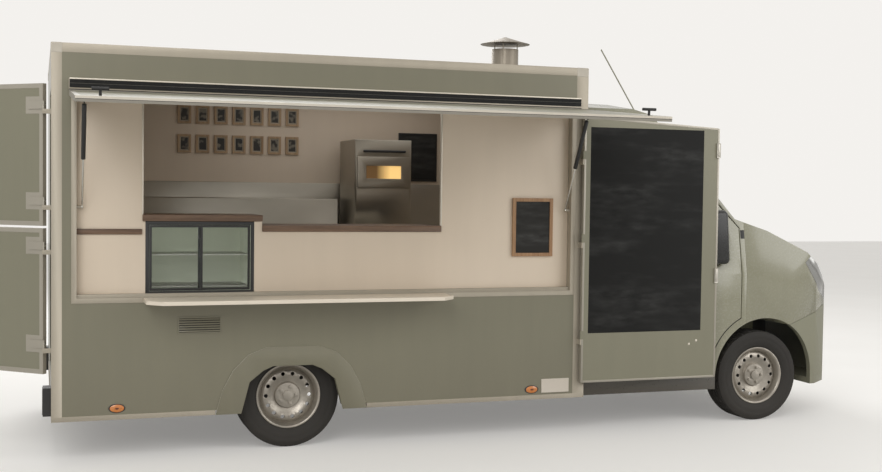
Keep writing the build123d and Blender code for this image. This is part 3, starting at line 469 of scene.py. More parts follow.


# Painted shade: a dark sheet behind the louvres stands in for the shade inside the vent.
vent_painted_shade = coated("vent painted shade", (0.014, 0.013, 0.011), 0.8, shade=0.2, dust=0.0)
shaped_bar("vent_shade_sheet", (vent_low.x + shade_sheet_margin, wall_low.y - 0.0008, vent_low.z + shade_sheet_margin),
           (vent_high.x - shade_sheet_margin, wall_low.y + 0.002, vent_high.z - shade_sheet_margin),
           (0, -1, 0), [(0.004, 0.0)], vent_painted_shade)
open_frame("vent_frame", (vent_low.x, wall_low.y - 0.005, vent_low.z),
           (vent_high.x, wall_low.y - 0.0005, vent_high.z), vent_margin, sage, 0.0015)
louvre_pitch = (vent_high.z - vent_low.z - 2 * vent_margin) / louvre_count
for i in range(louvre_count):
    middle_z = vent_low.z + vent_margin + (i + 0.5) * louvre_pitch
    louvre = start_box("vent_louvre_%d" % i,
                       (vent_low.x + vent_margin - 0.001, wall_low.y - 0.0045, middle_z - louvre_half),
                       (vent_high.x - vent_margin + 0.001, wall_low.y - 0.0032, middle_z + louvre_half))
    pick_faces(louvre, facing(0, 0, 1))
    bpy.ops.transform.translate(value=(0, louvre_lean, 0))
    finish_piece(louvre, sage, "truck_body", bevel=0.0004)

# Edge profiles of the box and the opening's frame. Extruded aluminium, satin anodised,
# joined by cast corner blocks and glued over the panels' edges.
profile_silver = coated("anodised aluminium", (0.42, 0.375, 0.30), 0.42, shade=0.14, dust=0.20,
                        dust_height=0.6, metallic=0.3, bump=0.02, peel=300.0)
dress(["edge_profiles", "hatch_frame"], profile_silver, 0.0025)
corner_silver = coated("cast corner block", (0.50, 0.46, 0.39), 0.5, shade=0.25, dust=0.0, metallic=0.3,
                       peel=120.0)
box_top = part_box("edge_profiles")[1].z
front_face_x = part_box("box_front_wall")[1].x
corner_size = 0.066
corner_stand = 0.002
corner_thick = 0.05
# Columns: end, the blocks' low x and high x
for end_name, corner_x in (
        ("rear", (rear_face_x - corner_stand, rear_face_x + corner_size + 0.004)),
        ("front", (front_face_x - corner_size - 0.028, front_face_x))):
    for side_name, face_y, out in (("right", wall_low.y, -1), ("left", far_high.y, 1)):
        corner_y = sorted((face_y + out * corner_stand, face_y - out * corner_thick))
        shaped_bar("corner_block_%s_%s" % (end_name, side_name),
                   (corner_x[0], corner_y[0], box_top - corner_size),
                   (corner_x[1], corner_y[1], box_top + corner_stand),
                   (0, out, 0), [(0.009, -0.0012)], corner_silver, bevel=0.007, segments=4)

# Serving side inside the opening: a white laminate wall with thin aluminium lips round
# the window, and a black rubber seal in two strips along the hatch's hinge rail.
dress(["serving_wall", "base_cabinet"], liner_white, 0.0015)
wall_face_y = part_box("serving_wall")[0].y
shelf_low, shelf_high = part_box("service_shelf")
window_top = 2.300
lip_half = 0.0055
lip_stand = 0.004
lip_bright = coated("lip aluminium", (0.72, 0.66, 0.56), 0.3, shade=0.08, dust=0.0, metallic=0.35)
# Columns: name, the window's edge, height of its foot on the counter
for lip_name, lip_x, lip_foot in (("rear", shelf_low.x, 1.583), ("front", shelf_high.x, 1.515)):
    shaped_bar("window_lip_" + lip_name, (lip_x - lip_half, wall_face_y - lip_stand, lip_foot),
               (lip_x + lip_half, wall_face_y + 0.02, window_top),
               (0, -1, 0), [(0.002, 0.001)], lip_bright, bevel=0.001)
seal_black = coated("rubber seal", (0.006, 0.006, 0.006), 0.9, shade=0.1, dust=0.1, peel=200.0)
keeper_grey = coated("seal keeper", (0.16, 0.15, 0.13), 0.4, dust=0.0, metallic=0.3)
frame_low, frame_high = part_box("hatch_frame")
rail_end_gap = 0.004
# Columns: name, low z and high z from the rail's top, stand, finish, slot
for strip_name, strip_low, strip_high, strip_stand, strip_finish, strip_slot in (
        ("lower_seal", -0.057, -0.0315, 0.003, seal_black, "black_plastic"),
        ("upper_seal", -0.0295, -0.006, 0.003, seal_black, "black_plastic"),
        ("seal_keeper", -0.0315, -0.0295, 0.004, keeper_grey, "aluminium"),
        ("seal_cap", -0.006, 0.003, 0.006, lip_bright, "aluminium")):
    shaped_bar(strip_name, (frame_low.x + rail_end_gap, frame_low.y - strip_stand, frame_high.z + strip_low),
               (frame_high.x - rail_end_gap, frame_low.y + 0.01, frame_high.z + strip_high),
               (0, -1, 0), [(0.0015, 0.001)], strip_finish, bevel=0.0005)

# Hatch and rear doors: sage sandwich panels in aluminium edge profiles, hung on continuous
# hinges. The hatch's free edge has a painted highlight along its top, painted black shade in its groove, and
# black handles.
panel_rim = 0.028
panel_recess = 0.0015
groove_shares = (0.46, 0.56)
grip_above = 0.003
grip_below = 0.006
grip_reach = 0.2


def node_copy(node_name, name):
    """A piece that starts as a CAD node's mesh, merged, in edit mode."""
    piece = bpy.data.objects.new(name, nodes[node_name].data.copy())
    bpy.context.collection.objects.link(piece)
    make_active(piece)
    bpy.ops.mesh.customdata_custom_splitnormals_clear()
    bpy.ops.object.mode_set(mode="EDIT")
    bpy.ops.mesh.select_mode(type="VERT")
    bpy.ops.mesh.select_all(action="SELECT")
    bpy.ops.mesh.remove_doubles(threshold=weld_gap)
    return piece


def cut_across(place, direction):
    """Cuts all of the piece in edit mode along a plane, and keeps both sides."""
    bpy.ops.mesh.select_all(action="SELECT")
    bpy.ops.mesh.bisect(plane_co=place, plane_no=direction)


def paint_picked(piece, material):
    """Gives the faces that are still selected a finish of their own."""
    piece.data.materials.append(material)
    for face in piece.data.polygons:
        if face.select:
            face.material_index = len(piece.data.materials) - 1


def wide_sides(mesh):
    """The way that a panel's widest face looks, and how far along it the wide faces lie."""
    widest = max(mesh.polygons, key=lambda face: face.area)
    way = widest.normal.copy()
    levels = [face.center.dot(way) for face in mesh.polygons
              if abs(face.normal.dot(way)) > 0.999 and face.area > 0.25 * widest.area]
    return way, levels


def framed_copy(node_name, rim_finish, field_finish):
    """A panel made over its CAD form, with a sunk field inside a rim on both wide sides."""
    panel = node_copy(node_name, node_name + "_framed")
    bpy.ops.mesh.dissolve_limited(angle_limit=flat_angle)
    bpy.ops.object.mode_set(mode="OBJECT")
    way, levels = wide_sides(panel.data)

    def on_wide_side(centre, normal):
        nearest = min(abs(centre.dot(way) - level) for level in levels)
        return abs(normal.dot(way)) > 0.999 and nearest < 0.0003

    pick_faces(panel, on_wide_side)
    bpy.ops.mesh.inset(thickness=panel_rim, depth=0.0)
    bpy.ops.mesh.inset(thickness=0.0012, depth=-panel_recess)
    finish_piece(panel, rim_finish, nodes[node_name]["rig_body"])
    paint_picked(panel, field_finish)
    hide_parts(node_name)
    return panel


leaf_silver = coated("leaf profile", (0.40, 0.37, 0.31), 0.34, shade=0.12, dust=0.15, metallic=0.4)
hatch_silver = coated("hatch profile", (0.30, 0.28, 0.24), 0.36, shade=0.15, dust=0.1, metallic=0.5)
leaf_sage = coated("leaf sage", (0.225, 0.215, 0.152), 0.42, shade=0.10, dust=0.1)
edge_painted_highlight = coated("hatch edge painted highlight", (0.66, 0.61, 0.52), 0.3, shade=0.1, dust=0.0, metallic=0.35)
grip_black_and_groove_shade = coated("grip black and groove shade", (0.010, 0.010, 0.010), 0.5, dust=0.0, peel=220.0)
open_hatch = framed_copy("hatch", hatch_silver, leaf_sage)
hatch_up, hatch_levels = wide_sides(open_hatch.data)
if hatch_up.z < 0:
    hatch_up, hatch_levels = -hatch_up, [-level for level in hatch_levels]
hatch_top, hatch_bottom = max(hatch_levels), min(hatch_levels)
hatch_out = Vector((1, 0, 0)).cross(hatch_up)
hatch_reach = max(vertex.co.dot(hatch_out) for vertex in open_hatch.data.vertices
                  if hatch_bottom - 0.001 < vertex.co.dot(hatch_up) < hatch_top + 0.001)
groove_low, groove_high = [hatch_bottom + share * (hatch_top - hatch_bottom) for share in groove_shares]
make_active(open_hatch)
bpy.ops.object.mode_set(mode="EDIT")
cut_across(hatch_up * groove_low, hatch_up)
cut_across(hatch_up * groove_high, hatch_up)
bpy.ops.object.mode_set(mode="OBJECT")


def on_free_edge(centre, normal):
    """The long narrow side that the customers see."""
    return normal.dot(hatch_out) > 0.9 and centre.dot(hatch_out) > hatch_reach - 0.002


def is_edge_highlight(centre, normal):
    """The part of the free edge above its groove, which gets a painted highlight."""
    return on_free_edge(centre, normal) and centre.dot(hatch_up) > groove_high


def is_grip_or_groove_shade(centre, normal):
    """The groove, painted black as shade, and the handles, which stand off the wide sides."""
    level = centre.dot(hatch_up)
    above = level > hatch_top + grip_above
    below = level < hatch_bottom - grip_below and centre.dot(hatch_out) > hatch_reach - grip_reach
    return above or below or on_free_edge(centre, normal) and groove_low < level < groove_high


# A painted highlight along the top of the hatch's free edge, above its groove.
paint_faces(open_hatch.data, edge_painted_highlight, is_edge_highlight)
# The handles are black, and the band in the free edge's groove is painted shade.
paint_faces(open_hatch.data, grip_black_and_groove_shade, is_grip_or_groove_shade)
framed_copy("rear_door_upper", leaf_silver, leaf_sage)
framed_copy("rear_door_lower", leaf_silver, leaf_sage)

# Menu leaf: a sage panel trimmed with folded aluminium, screwed to it, that carries a
# black chalk board. It hinges on the front post, and steel latches hold its free edge.
dress(["menu_leaf"], leaf_sage)
leaf_low, leaf_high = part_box("menu_leaf")
board_low, board_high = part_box("menu_board")
trim_width = 0.014
trim_proud = 0.0015
leaf_end = leaf_high.x
leaf_start = leaf_end - 1.110
free_top = 2.250
leaf_slope = (leaf_high.z - free_top) / (leaf_end - leaf_start)
# Columns: name, low x, high x, low z, high z
for trim_name, trim_x0, trim_x1, trim_z0, trim_z1 in (
        ("hinge", leaf_start - trim_proud, leaf_start + trim_width, leaf_low.z, leaf_high.z),
        ("free", leaf_end - trim_width, leaf_end + trim_proud, leaf_low.z, free_top),
        ("bottom", leaf_start + trim_width, leaf_end - trim_width, leaf_low.z - trim_proud,
         leaf_low.z + trim_width),
        ("top", leaf_start + trim_width, leaf_end - trim_width, leaf_high.z - trim_width,
         leaf_high.z + trim_proud)):
    trim = start_box("leaf_trim_" + trim_name, (trim_x0, board_low.y - trim_proud, trim_z0),
                     (trim_x1, leaf_high.y + trim_proud, trim_z1))
    if trim_name == "top":
        pick_faces(trim, facing(1, 0, 0))
        bpy.ops.transform.translate(value=(0, 0, -leaf_slope * (trim_x1 - trim_x0)))
    finish_piece(trim, leaf_silver, "menu_leaf", bevel=0.0008)

chalk_group, chalk_in, chalk_out = open_group(
    "chalk haze", [("Board", "Color", (0.02, 0.02, 0.02, 1)), ("Haze", "Float", 0.5)],
    [("Colour", "Color"), ("Height", "Float")])
chalk_wipes = noise_on(chalk_group, 5.0, 6.0, (0.35, 1.0, 1.6))
chalk_smears = noise_on(chalk_group, 26.0, 8.0, (0.3, 1.0, 1.0))
chalk_left = reckoned(chalk_group, "MULTIPLY", ramped(chalk_group, chalk_wipes, 0.42, 0.72),
                      ramped(chalk_group, chalk_smears, 0.35, 0.75))
chalk_amount = reckoned(chalk_group, "MULTIPLY", chalk_left, chalk_in.outputs["Haze"])
feed(chalk_group, chalk_out.inputs["Colour"],
     mixed(chalk_group, chalk_amount, chalk_in.outputs["Board"], (0.16, 0.16, 0.155)))
feed(chalk_group, chalk_out.inputs["Height"], chalk_smears)


def chalked(name, board, haze):
    """A chalk board that has been wiped clean."""
    return surface_finish(name, chalk_group, {"Board": board, "Haze": haze}, 0.05, 0.001,
                          {"Roughness": 0.75, "Specular IOR Level": 0.25})


board_black = chalked("chalk board", (0.009, 0.009, 0.0085), 0.22)
dress(["menu_board"], board_black, 0.001)
steel_latch = coated("latch steel", (0.55, 0.52, 0.46), 0.35, shade=0.2, dust=0.0, metallic=0.7)
latch_width, latch_stand, latch_half = 0.024, 0.014, 0.055
# Columns: name, middle height
for latch_name, latch_z in (("top", 2.085), ("middle", 1.150)):
    shaped_bar("leaf_latch_" + latch_name,
               (leaf_end - latch_width, board_low.y - latch_stand, latch_z - latch_half),
               (leaf_end + 0.006, board_low.y + 0.002, latch_z + latch_half),
               (0, -1, 0), [(0.006, -0.003), (0.001, 0.004)], steel_latch, "menu_leaf", 0.002)
screw_profile = [(0.0, 0.003), (0.003, 0.003), (0.008, 0.0015), (0.010, 0.0)]
# Columns: name, distance from the free edge, height
for screw_name, screw_in, screw_z in (("a", 0.225, 0.640), ("b", 0.165, 0.665)):
    screw = lathe("leaf_screw_" + screw_name, (leaf_end - screw_in, board_low.y + 0.001, screw_z), (0, -1, 0),
                  screw_profile, 16)
    finish_piece(screw, lip_bright, "menu_leaf")

# Folding service shelf: an aluminium-edged board on the window's lower edge, level as it
# serves. It hinges on four short knuckles.
shelf_white = coated("shelf laminate", (0.80, 0.72, 0.60), 0.4, shade=0.08, dust=0.0)
dress(["service_shelf"], shelf_white, 0.002)

# Struts of the hatch: gas springs with a black cylinder and a bright rod, pinned to the
# jamb below and to the hatch above.
black_plastic = coated("black plastic", (0.018, 0.018, 0.018), 0.4, dust=0.1, peel=220.0, bump=0.08)
rod_chrome = coated("rod chrome", (0.62, 0.60, 0.55), 0.18, metallic=1.0, dust=0.0)
dress(["strut_cylinder_rear", "strut_cylinder_front"], black_plastic, 0.001)
dress(["strut_rod_rear", "strut_rod_front"], rod_chrome, 0.0008)

# Counters and the strip at the left panel: oiled wood boards, the grain along the truck,
# screwed down from below.
grain_group, grain_in, grain_out = open_group(
    "wood grain",
    [("Early Wood", "Color", (0.2, 0.12, 0.07, 1)), ("Late Wood", "Color", (0.08, 0.04, 0.02, 1)),
     ("Stretch", "Vector", (0.06, 1.0, 1.0)), ("Fineness", "Float", 30.0)],
    [("Colour", "Color"), ("Height", "Float")])
grain_bands = noise_on(grain_group, grain_in.outputs["Fineness"], 6.0, grain_in.outputs["Stretch"])
grain_pores = noise_on(grain_group, 260.0, 3.0, grain_in.outputs["Stretch"])
grain_tone = reckoned(grain_group, "MULTIPLY_ADD", grain_pores, 0.35, grain_bands)
feed(grain_group, grain_out.inputs["Colour"],
     mixed(grain_group, ramped(grain_group, grain_tone, 0.45, 0.95), grain_in.outputs["Early Wood"],
           grain_in.outputs["Late Wood"]))
feed(grain_group, grain_out.inputs["Height"], grain_tone)


def wooden(name, early, late, stretch, fineness, roughness):
    """Wood with its grain drawn out along one axis."""
    return surface_finish(name, grain_group,
                          {"Early Wood": early, "Late Wood": late, "Stretch": stretch, "Fineness": fineness},
                          0.12, 0.001, {"Roughness": roughness})


along_truck = (0.05, 1.0, 1.0)
counter_wood = wooden("counter wood", (0.215, 0.130, 0.078), (0.075, 0.040, 0.022), along_truck, 42.0, 0.42)
dress(["counters"], counter_wood, 0.0025)
strip_z = (1.455, 1.490)
shaped_bar("left_wood_strip", (frame_low.x + 0.030, wall_face_y - 0.012, strip_z[0]),
           (shelf_low.x - 0.004, wall_face_y + 0.002, strip_z[1]),
           (0, -1, 0), [(0.003, 0.001)], counter_wood, bevel=0.003)

# Drinks fridge: a black steel cabinet with two sliding glass doors in black frames, a pale liner that
# glows with painted light, and two wire shelves on clips.
fridge_low, fridge_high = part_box("drinks_fridge")
dress(["drinks_fridge"], black_plastic, 0.002)
fridge_liner_glow = coated("fridge liner glow", (0.55, 0.58, 0.47), 0.4, shade=0.1, dust=0.0)
liner_tree = fridge_liner_glow.node_tree
liner_shader = liner_tree.nodes["Principled BSDF"]
# The liner glows: painted light standing in for the fridge's inner lamp.
liner_tree.links.new(liner_tree.nodes["surface"].outputs["Colour"], liner_shader.inputs["Emission Color"])
liner_shader.inputs["Emission Strength"].default_value = 0.12
cabinet_wall = 0.01


def in_fridge(centre, normal):
    """The liner's faces, behind the doors and inside the cabinet's walls."""
    return (fridge_low.y + 2 * cabinet_wall < centre.y < fridge_high.y - cabinet_wall
            and fridge_low.x + cabinet_wall < centre.x < fridge_high.x - cabinet_wall
            and fridge_low.z + cabinet_wall < centre.z < fridge_high.z - cabinet_wall)


paint_faces(nodes["drinks_fridge"].data, fridge_liner_glow, in_fridge)
fridge_middle = (fridge_low.x + fridge_high.x) / 2
door_margin = 0.025
door_lap = 0.015
door_stile = 0.016
door_thick = 0.010
# Columns: name, low x, high x, how far back in the cabinet
for door_name, door_x0, door_x1, door_back in (
        ("left", fridge_low.x + door_margin, fridge_middle + door_lap, 0.004),
        ("right", fridge_middle - door_lap, fridge_high.x - door_margin, 0.014)):
    open_frame("fridge_door_" + door_name, (door_x0, fridge_low.y + door_back, fridge_low.z + door_margin),
               (door_x1, fridge_low.y + door_back + door_thick, fridge_high.z - door_margin),
               door_stile, black_plastic, 0.0015)
rack_wire = coated("shelf wire", (0.55, 0.54, 0.50), 0.35, shade=0.1, dust=0.0, metallic=0.5)
rack_margin = 0.027
rack_thick = 0.005
# Columns: name, height in the cabinet
for rack_name, rack_height in (("lower", 0.045), ("upper", 0.255)):
    rack_z = fridge_low.z + rack_height
    rack = start_box("fridge_rack_" + rack_name, (fridge_low.x + rack_margin, fridge_low.y + 0.05, rack_z),
                     (fridge_high.x - rack_margin, fridge_high.y - 0.04, rack_z + rack_thick))
    bpy.ops.object.mode_set(mode="EDIT")
    bpy.ops.mesh.select_all(action="SELECT")
    bpy.ops.mesh.subdivide(number_cuts=14)
    pick_faces(rack, lambda centre, normal: abs(normal.z) > 0.9)
    bpy.ops.mesh.inset(thickness=0.003, depth=-0.0018, use_individual=True)
    finish_piece(rack, rack_wire, "truck_body")

# Far wall: the prep counter with its splash-back and topping rack, the pizza oven and the
# flue. Stainless sheet, folded and riveted, with the brush marks along it.
steel_group, steel_in, steel_out = open_group(
    "brushed sheet", [("Colour", "Color", (0.5, 0.5, 0.5, 1)), ("Roughness", "Float", 0.3)],
    [("Colour", "Color"), ("Roughness", "Float"), ("Height", "Float")])
steel_brush = noise_on(steel_group, 180.0, 2.0, (0.02, 1.0, 1.0))
steel_smear = ramped(steel_group, noise_on(steel_group, 3.0, 3.0, (0.5, 1.0, 1.0)), 0.3, 0.7, 0.0, 0.35)
feed(steel_group, steel_out.inputs["Colour"],
     mixed(steel_group, steel_smear, steel_in.outputs["Colour"], (0.22, 0.20, 0.16)))
feed(steel_group, steel_out.inputs["Roughness"],
     reckoned(steel_group, "MULTIPLY_ADD", steel_brush, 0.12, steel_in.outputs["Roughness"]))
feed(steel_group, steel_out.inputs["Height"], steel_brush)


def brushed(name, colour, roughness, metallic=0.85):
    """Stainless sheet with fine brush marks."""
    return surface_finish(name, steel_group, {"Colour": colour, "Roughness": roughness}, 0.04, 0.001,
                          {"Metallic": metallic})


steel_bright = brushed("stainless", (0.50, 0.47, 0.41), 0.27)
steel_dull = brushed("oven steel", (0.48, 0.44, 0.37), 0.34)
flue_steel = brushed("flue steel", (0.27, 0.235, 0.19), 0.4, 0.7)
dress(["prep_counter"], steel_bright, 0.003)
dress(["roof_flue"], flue_steel, 0.003)
dress(["pizza_oven"], steel_dull, 0.004)
oven_low, oven_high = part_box("pizza_oven")
oven_front_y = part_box("prep_counter")[0].y + 0.060
mouth_x = (oven_low.x + 0.030, oven_high.x - 0.030)
mouth_z = (oven_low.z + 0.330, oven_low.z + 0.560)
door_lip = 0.012
pane_margin = 0.060
glow_to_x = oven_low.x + 0.18
glow_fade = 0.12
handle_z = mouth_z[1] + 0.055
handle_half = 0.010
handle_inset = 0.03
open_frame("oven_door", (mouth_x[0] - door_lip, oven_front_y - 0.022, mouth_z[0] - door_lip),
           (mouth_x[1] + door_lip, oven_front_y - 0.001, mouth_z[1] + door_lip),
           0.075, steel_dull, 0.003)
oven_glow = bpy.data.materials.new("oven glow")
oven_glow.use_nodes = True
glow_tree = oven_glow.node_tree
glow_shader = glow_tree.nodes["Principled BSDF"]
glow_shader.inputs["Emission Strength"].default_value = 0.9
glow_shader.inputs["Roughness"].default_value = 0.2
glow_away = ramped(glow_tree, place_along(glow_tree, "X"), glow_to_x, glow_to_x + glow_fade, 1.0, 0.0)
glow_colour = mixed(glow_tree, glow_away, (0.85, 0.55, 0.20), (0.10, 0.055, 0.022))
feed(glow_tree, glow_shader.inputs["Base Color"], glow_colour)
feed(glow_tree, glow_shader.inputs["Emission Color"], glow_colour)
shaped_bar("oven_window", (mouth_x[0] + pane_margin, oven_front_y - 0.014, mouth_z[0] + pane_margin),
           (mouth_x[1] - pane_margin, oven_front_y - 0.006, mouth_z[1] - pane_margin),
           (0, -1, 0), [(0.006, -0.002)], oven_glow, bevel=0.001)
handle = start_box("oven_handle", (mouth_x[0] + handle_inset, oven_front_y - 0.050, handle_z - handle_half),
                   (mouth_x[1] - handle_inset, oven_front_y - 0.030, handle_z + handle_half))
finish_piece(handle, black_plastic, "truck_body", bevel=0.8 * handle_half, segments=3)
bracket_profile = [(0.0, 0.042), (0.006, 0.042), (0.006, 0.006), (0.012, -0.001)]
for bracket_x in (mouth_x[0] + 2 * handle_inset, mouth_x[1] - 2 * handle_inset):
    bracket = lathe("oven_bracket_%d" % round(bracket_x * 1000 + 9000), (bracket_x, oven_front_y, handle_z),
                    (0, -1, 0), bracket_profile, 16)
    finish_piece(bracket, steel_dull, "truck_body")

# Picture frames on the far wall, the slate by the window and the black board by the oven.
# Pale wood mouldings round dark prints, hung in two rows. The prints are plain tones.
upright = (1.0, 1.0, 0.08)
frame_wood = wooden("pale frame wood", (0.50, 0.355, 0.215), (0.33, 0.21, 0.115), upright, 50.0, 0.5)
slate_wood = wooden("slate frame wood", (0.40, 0.235, 0.120), (0.25, 0.13, 0.060), upright, 50.0, 0.5)
print_dark = coated("dark print", (0.030, 0.026, 0.020), 0.5, shade=0.0, dust=0.0)
print_tree = print_dark.node_tree
print_tones = ramped(print_tree, noise_on(print_tree, 26.0, 1.5), 0.52, 0.66)
feed(print_tree, print_tree.nodes["surface"].inputs["Colour"],
     mixed(print_tree, print_tones, (0.020, 0.018, 0.014), (0.20, 0.18, 0.14)))
mount_paper = coated("mount paper", (0.42, 0.36, 0.27), 0.7, shade=0.05, dust=0.0)
slate_face = chalked("slate face", (0.024, 0.023, 0.021), 0.5)


def hung_frame(name, low, high, wood, face_finish, moulding, mount=0.0):
    """A frame on a wall that faces the customers: moulding, an optional paper mount and a sunk face."""
    framed = start_box(name, low, high)
    pick_faces(framed, facing(0, -1, 0))
    bpy.ops.mesh.inset(thickness=moulding, depth=0.0)
    bpy.ops.mesh.inset(thickness=0.001, depth=-0.006)
    if mount:
        bpy.ops.mesh.inset(thickness=mount, depth=0.0)
    finish_piece(framed, wood, "truck_body")
    paint_picked(framed, face_finish)
    framed.data.materials.append(mount_paper)
    if mount:
        for face in framed.data.polygons:
            if face.center.y > low[1] + 0.004 and face.normal.y < -0.9 and not face.select:
                face.material_index = 2
    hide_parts("wall_pictures")


frame_depth = 0.018
picture_start = axle_x - 4.230
picture_pitch = 0.150
picture_width = 0.110
picture_height = 0.150
for row_name, row_z in (("low", 2.050), ("high", 2.290)):
    for i in range(7):
        picture_x = picture_start + i * picture_pitch
        hung_frame("picture_%s_%d" % (row_name, i), (picture_x, far_low.y - frame_depth, row_z),
                   (picture_x + picture_width, far_low.y, row_z + picture_height),
                   frame_wood, print_dark, 0.017, 0.008)
hung_frame("wall_slate", (axle_x - 2.108, wall_face_y - frame_depth, 1.298),
           (axle_x - 1.797, wall_face_y, 1.715), slate_wood, slate_face, 0.024)
hung_frame("oven_board", (axle_x - 2.330, far_low.y - frame_depth, 1.840),
           (axle_x - 1.980, far_low.y, 2.260), black_plastic, slate_face, 0.014)

# Lamps of the box: oval amber side markers on rubber bases, and round-cornered tail lamps.
# Clear-coated moulded plastic, screwed to the bottom rail and the rear posts.
lens_amber = coated("amber lens", (0.62, 0.20, 0.035), 0.18, dust=0.0, shade=0.15, clear_coat=1.0)
lens_dot = coated("lens centre", (0.16, 0.045, 0.012), 0.3, dust=0.0, shade=0.1)
lens_red = coated("red lens", (0.42, 0.018, 0.012), 0.16, dust=0.0, shade=0.05, clear_coat=1.0)
lens_clear = coated("clear lens", (0.62, 0.60, 0.56), 0.12, dust=0.0, shade=0.05, clear_coat=1.0)
lens_profile = [(0.0, 0.013), (0.011, 0.012), (0.012, 0.009), (0.030, 0.0085), (0.044, 0.005), (0.047, 0.0)]
base_profile = [(0.044, 0.0045), (0.052, 0.004), (0.053, 0.0)]
dot_radius = 0.0115
marker_z = 0.343
marker_oval = 0.55
for side_name, face_y, out in (("right", wall_low.y, -1), ("left", far_high.y, 1)):
    for end_name, marker_x in (("rear", axle_x - 4.840), ("front", axle_x - 1.963)):
        place = Vector((marker_x, face_y, marker_z))
        for part_name, profile, finish, slot in (("lens", lens_profile, lens_amber, None),
                                                 ("base", base_profile, black_plastic, "black_plastic")):
            marker_name = "marker_%s_%s_%s" % (part_name, side_name, end_name)
            marker = lathe(marker_name, place, (0, out, 0), profile, 40)
            bpy.ops.object.mode_set(mode="EDIT")
            bpy.ops.mesh.select_all(action="SELECT")
            bpy.ops.transform.resize(value=(1.0, 1.0, marker_oval), center_override=place)
            finish_piece(marker, finish, "truck_body")
            if part_name == "lens":
                paint_faces(marker.data, lens_dot,
                            lambda centre, normal, place=place: (centre - place).xz.length < dot_radius)
            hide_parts("body_lamps")
tail_lamp_across = 1.0
tail_lamp_half = 0.060
tail_lamp_z = (0.303, 0.483)
red_top = 0.43
clear_top = 0.36
for side_name, side in (("left", 1), ("right", -1)):
    lamp_middle = centre_y + side * tail_lamp_across
    housing = start_box("tail_lamp_" + side_name,
                        (rear_face_x - 0.050, lamp_middle - tail_lamp_half, tail_lamp_z[0]),
                        (rear_face_x, lamp_middle + tail_lamp_half, tail_lamp_z[1]))
    pick_faces(housing, facing(-1, 0, 0))
    bpy.ops.mesh.inset(thickness=0.006, depth=0.0)
    bpy.ops.mesh.inset(thickness=0.001, depth=-0.003)
    bpy.ops.mesh.inset(thickness=0.002, depth=0.006)
    bpy.ops.mesh.subdivide(number_cuts=2)
    finish_piece(housing, black_plastic, "truck_body")
    for finish in (lens_red, lens_clear, lens_amber):
        housing.data.materials.append(finish)
    for face in housing.data.polygons:
        if face.select:
            face.material_index = 3 if face.center.z > red_top else 2 if face.center.z < clear_top else 1
    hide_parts("body_lamps")
plate_white = coated("blank plate", (0.62, 0.56, 0.48), 0.4, shade=0.05, dust=0.1)
plate_half = 0.26


def blank_plate(name, low, high, look):
    """A pressed plate with a raised border and nothing on it."""
    shaped_bar("blank_plate_" + name, low, high, look, [(0.006, 0.0), (0.001, -0.0008)], plate_white,
               bevel=0.0006)


blank_plate("side", (axle_x - 1.887, wall_low.y - 0.003, 0.316), (axle_x - 1.672, wall_low.y + 0.001, 0.415),
            (0, -1, 0))
blank_plate("rear", (rear_face_x - 0.004, centre_y - plate_half, 0.36),
            (rear_face_x + 0.001, centre_y + plate_half, 0.47), (-1, 0, 0))

# Cab: pressed steel panels in a slightly lighter sage than the box, grey-black below the
# sill line. They are spot-welded or hinged, and meet at open shut lines.
cab_green = (0.255, 0.247, 0.172)
sill_line = (0.384, 0.388)
between_seats = Vector((axle_x - 0.85, centre_y, 1.45))
lining_front_x = axle_x - 0.20
cab_sage = coated("cab sage", cab_green, 0.27, shade=0.08, dust=0.2, dust_height=0.7, bump=0.004,
                  clear_coat=0.7)
cab_tree = cab_sage.node_tree
sill_mask = ramped(cab_tree, place_along(cab_tree, "Z"), *sill_line, 1.0, 0.0)
feed(cab_tree, cab_tree.nodes["surface"].inputs["Colour"],
     mixed(cab_tree, sill_mask, cab_green, (0.055, 0.047, 0.034)))
cab_inside = coated("cab lining", (0.085, 0.083, 0.078), 0.8, shade=0.1, dust=0.0)
dress(["cab_shell", "front_wings", "bonnet", "cab_door_left", "cab_door_right"], cab_sage, 0.003)


def faces_the_seats(centre, normal):
    """Inner faces of the cab, which turn towards a place between the seats."""
    inward = (between_seats - centre).normalized()
    return centre.x < lining_front_x and normal.dot(inward) > 0.30


for node_name in ("cab_shell", "cab_door_left", "cab_door_right"):
    paint_faces(nodes[node_name].data, cab_inside, faces_the_seats)

# Front bumper: one moulded skin in a duller sage, with black bars and deep slots between
# them in the upper grille and the lower air intake. It is screwed to the wings.
bumper_sage = coated("bumper sage", (0.240, 0.235, 0.168), 0.42, shade=0.10, dust=0.35, dust_height=0.7,
                     bump=0.04)
grille_black = coated("grille black", (0.010, 0.010, 0.010), 0.6, dust=0.1)
bumper = node_copy("front_bumper", "bumper_skin")
# Columns: half width, low z, high z, slots
air_ways = ((0.43, 0.785, 0.860, 3), (0.56, 0.330, 0.480, 5))
grille_bar = 0.009
slot_depth = 0.018
air_slots = []
for half_width, way_low, way_high, slot_count in air_ways:
    for side in (-1, 1):
        cut_across((0, centre_y + side * half_width, 0), (0, 1, 0))
    slot_pitch = (way_high - way_low + grille_bar) / slot_count
    for i in range(slot_count):
        slot_low = way_low + i * slot_pitch
        air_slots.append((half_width, slot_low, slot_low + slot_pitch - grille_bar))
        for level_z in air_slots[-1][1:]:
            cut_across((0, 0, level_z), (0, 0, 1))


def in_front(centre, normal, areas):
    """Front faces of the bumper that lie in one of some areas of (half width, low z, high z)."""
    return normal.x > 0.3 and any(abs(centre.y - centre_y) < half_width and low_z < centre.z < high_z
                                  for half_width, low_z, high_z in areas)


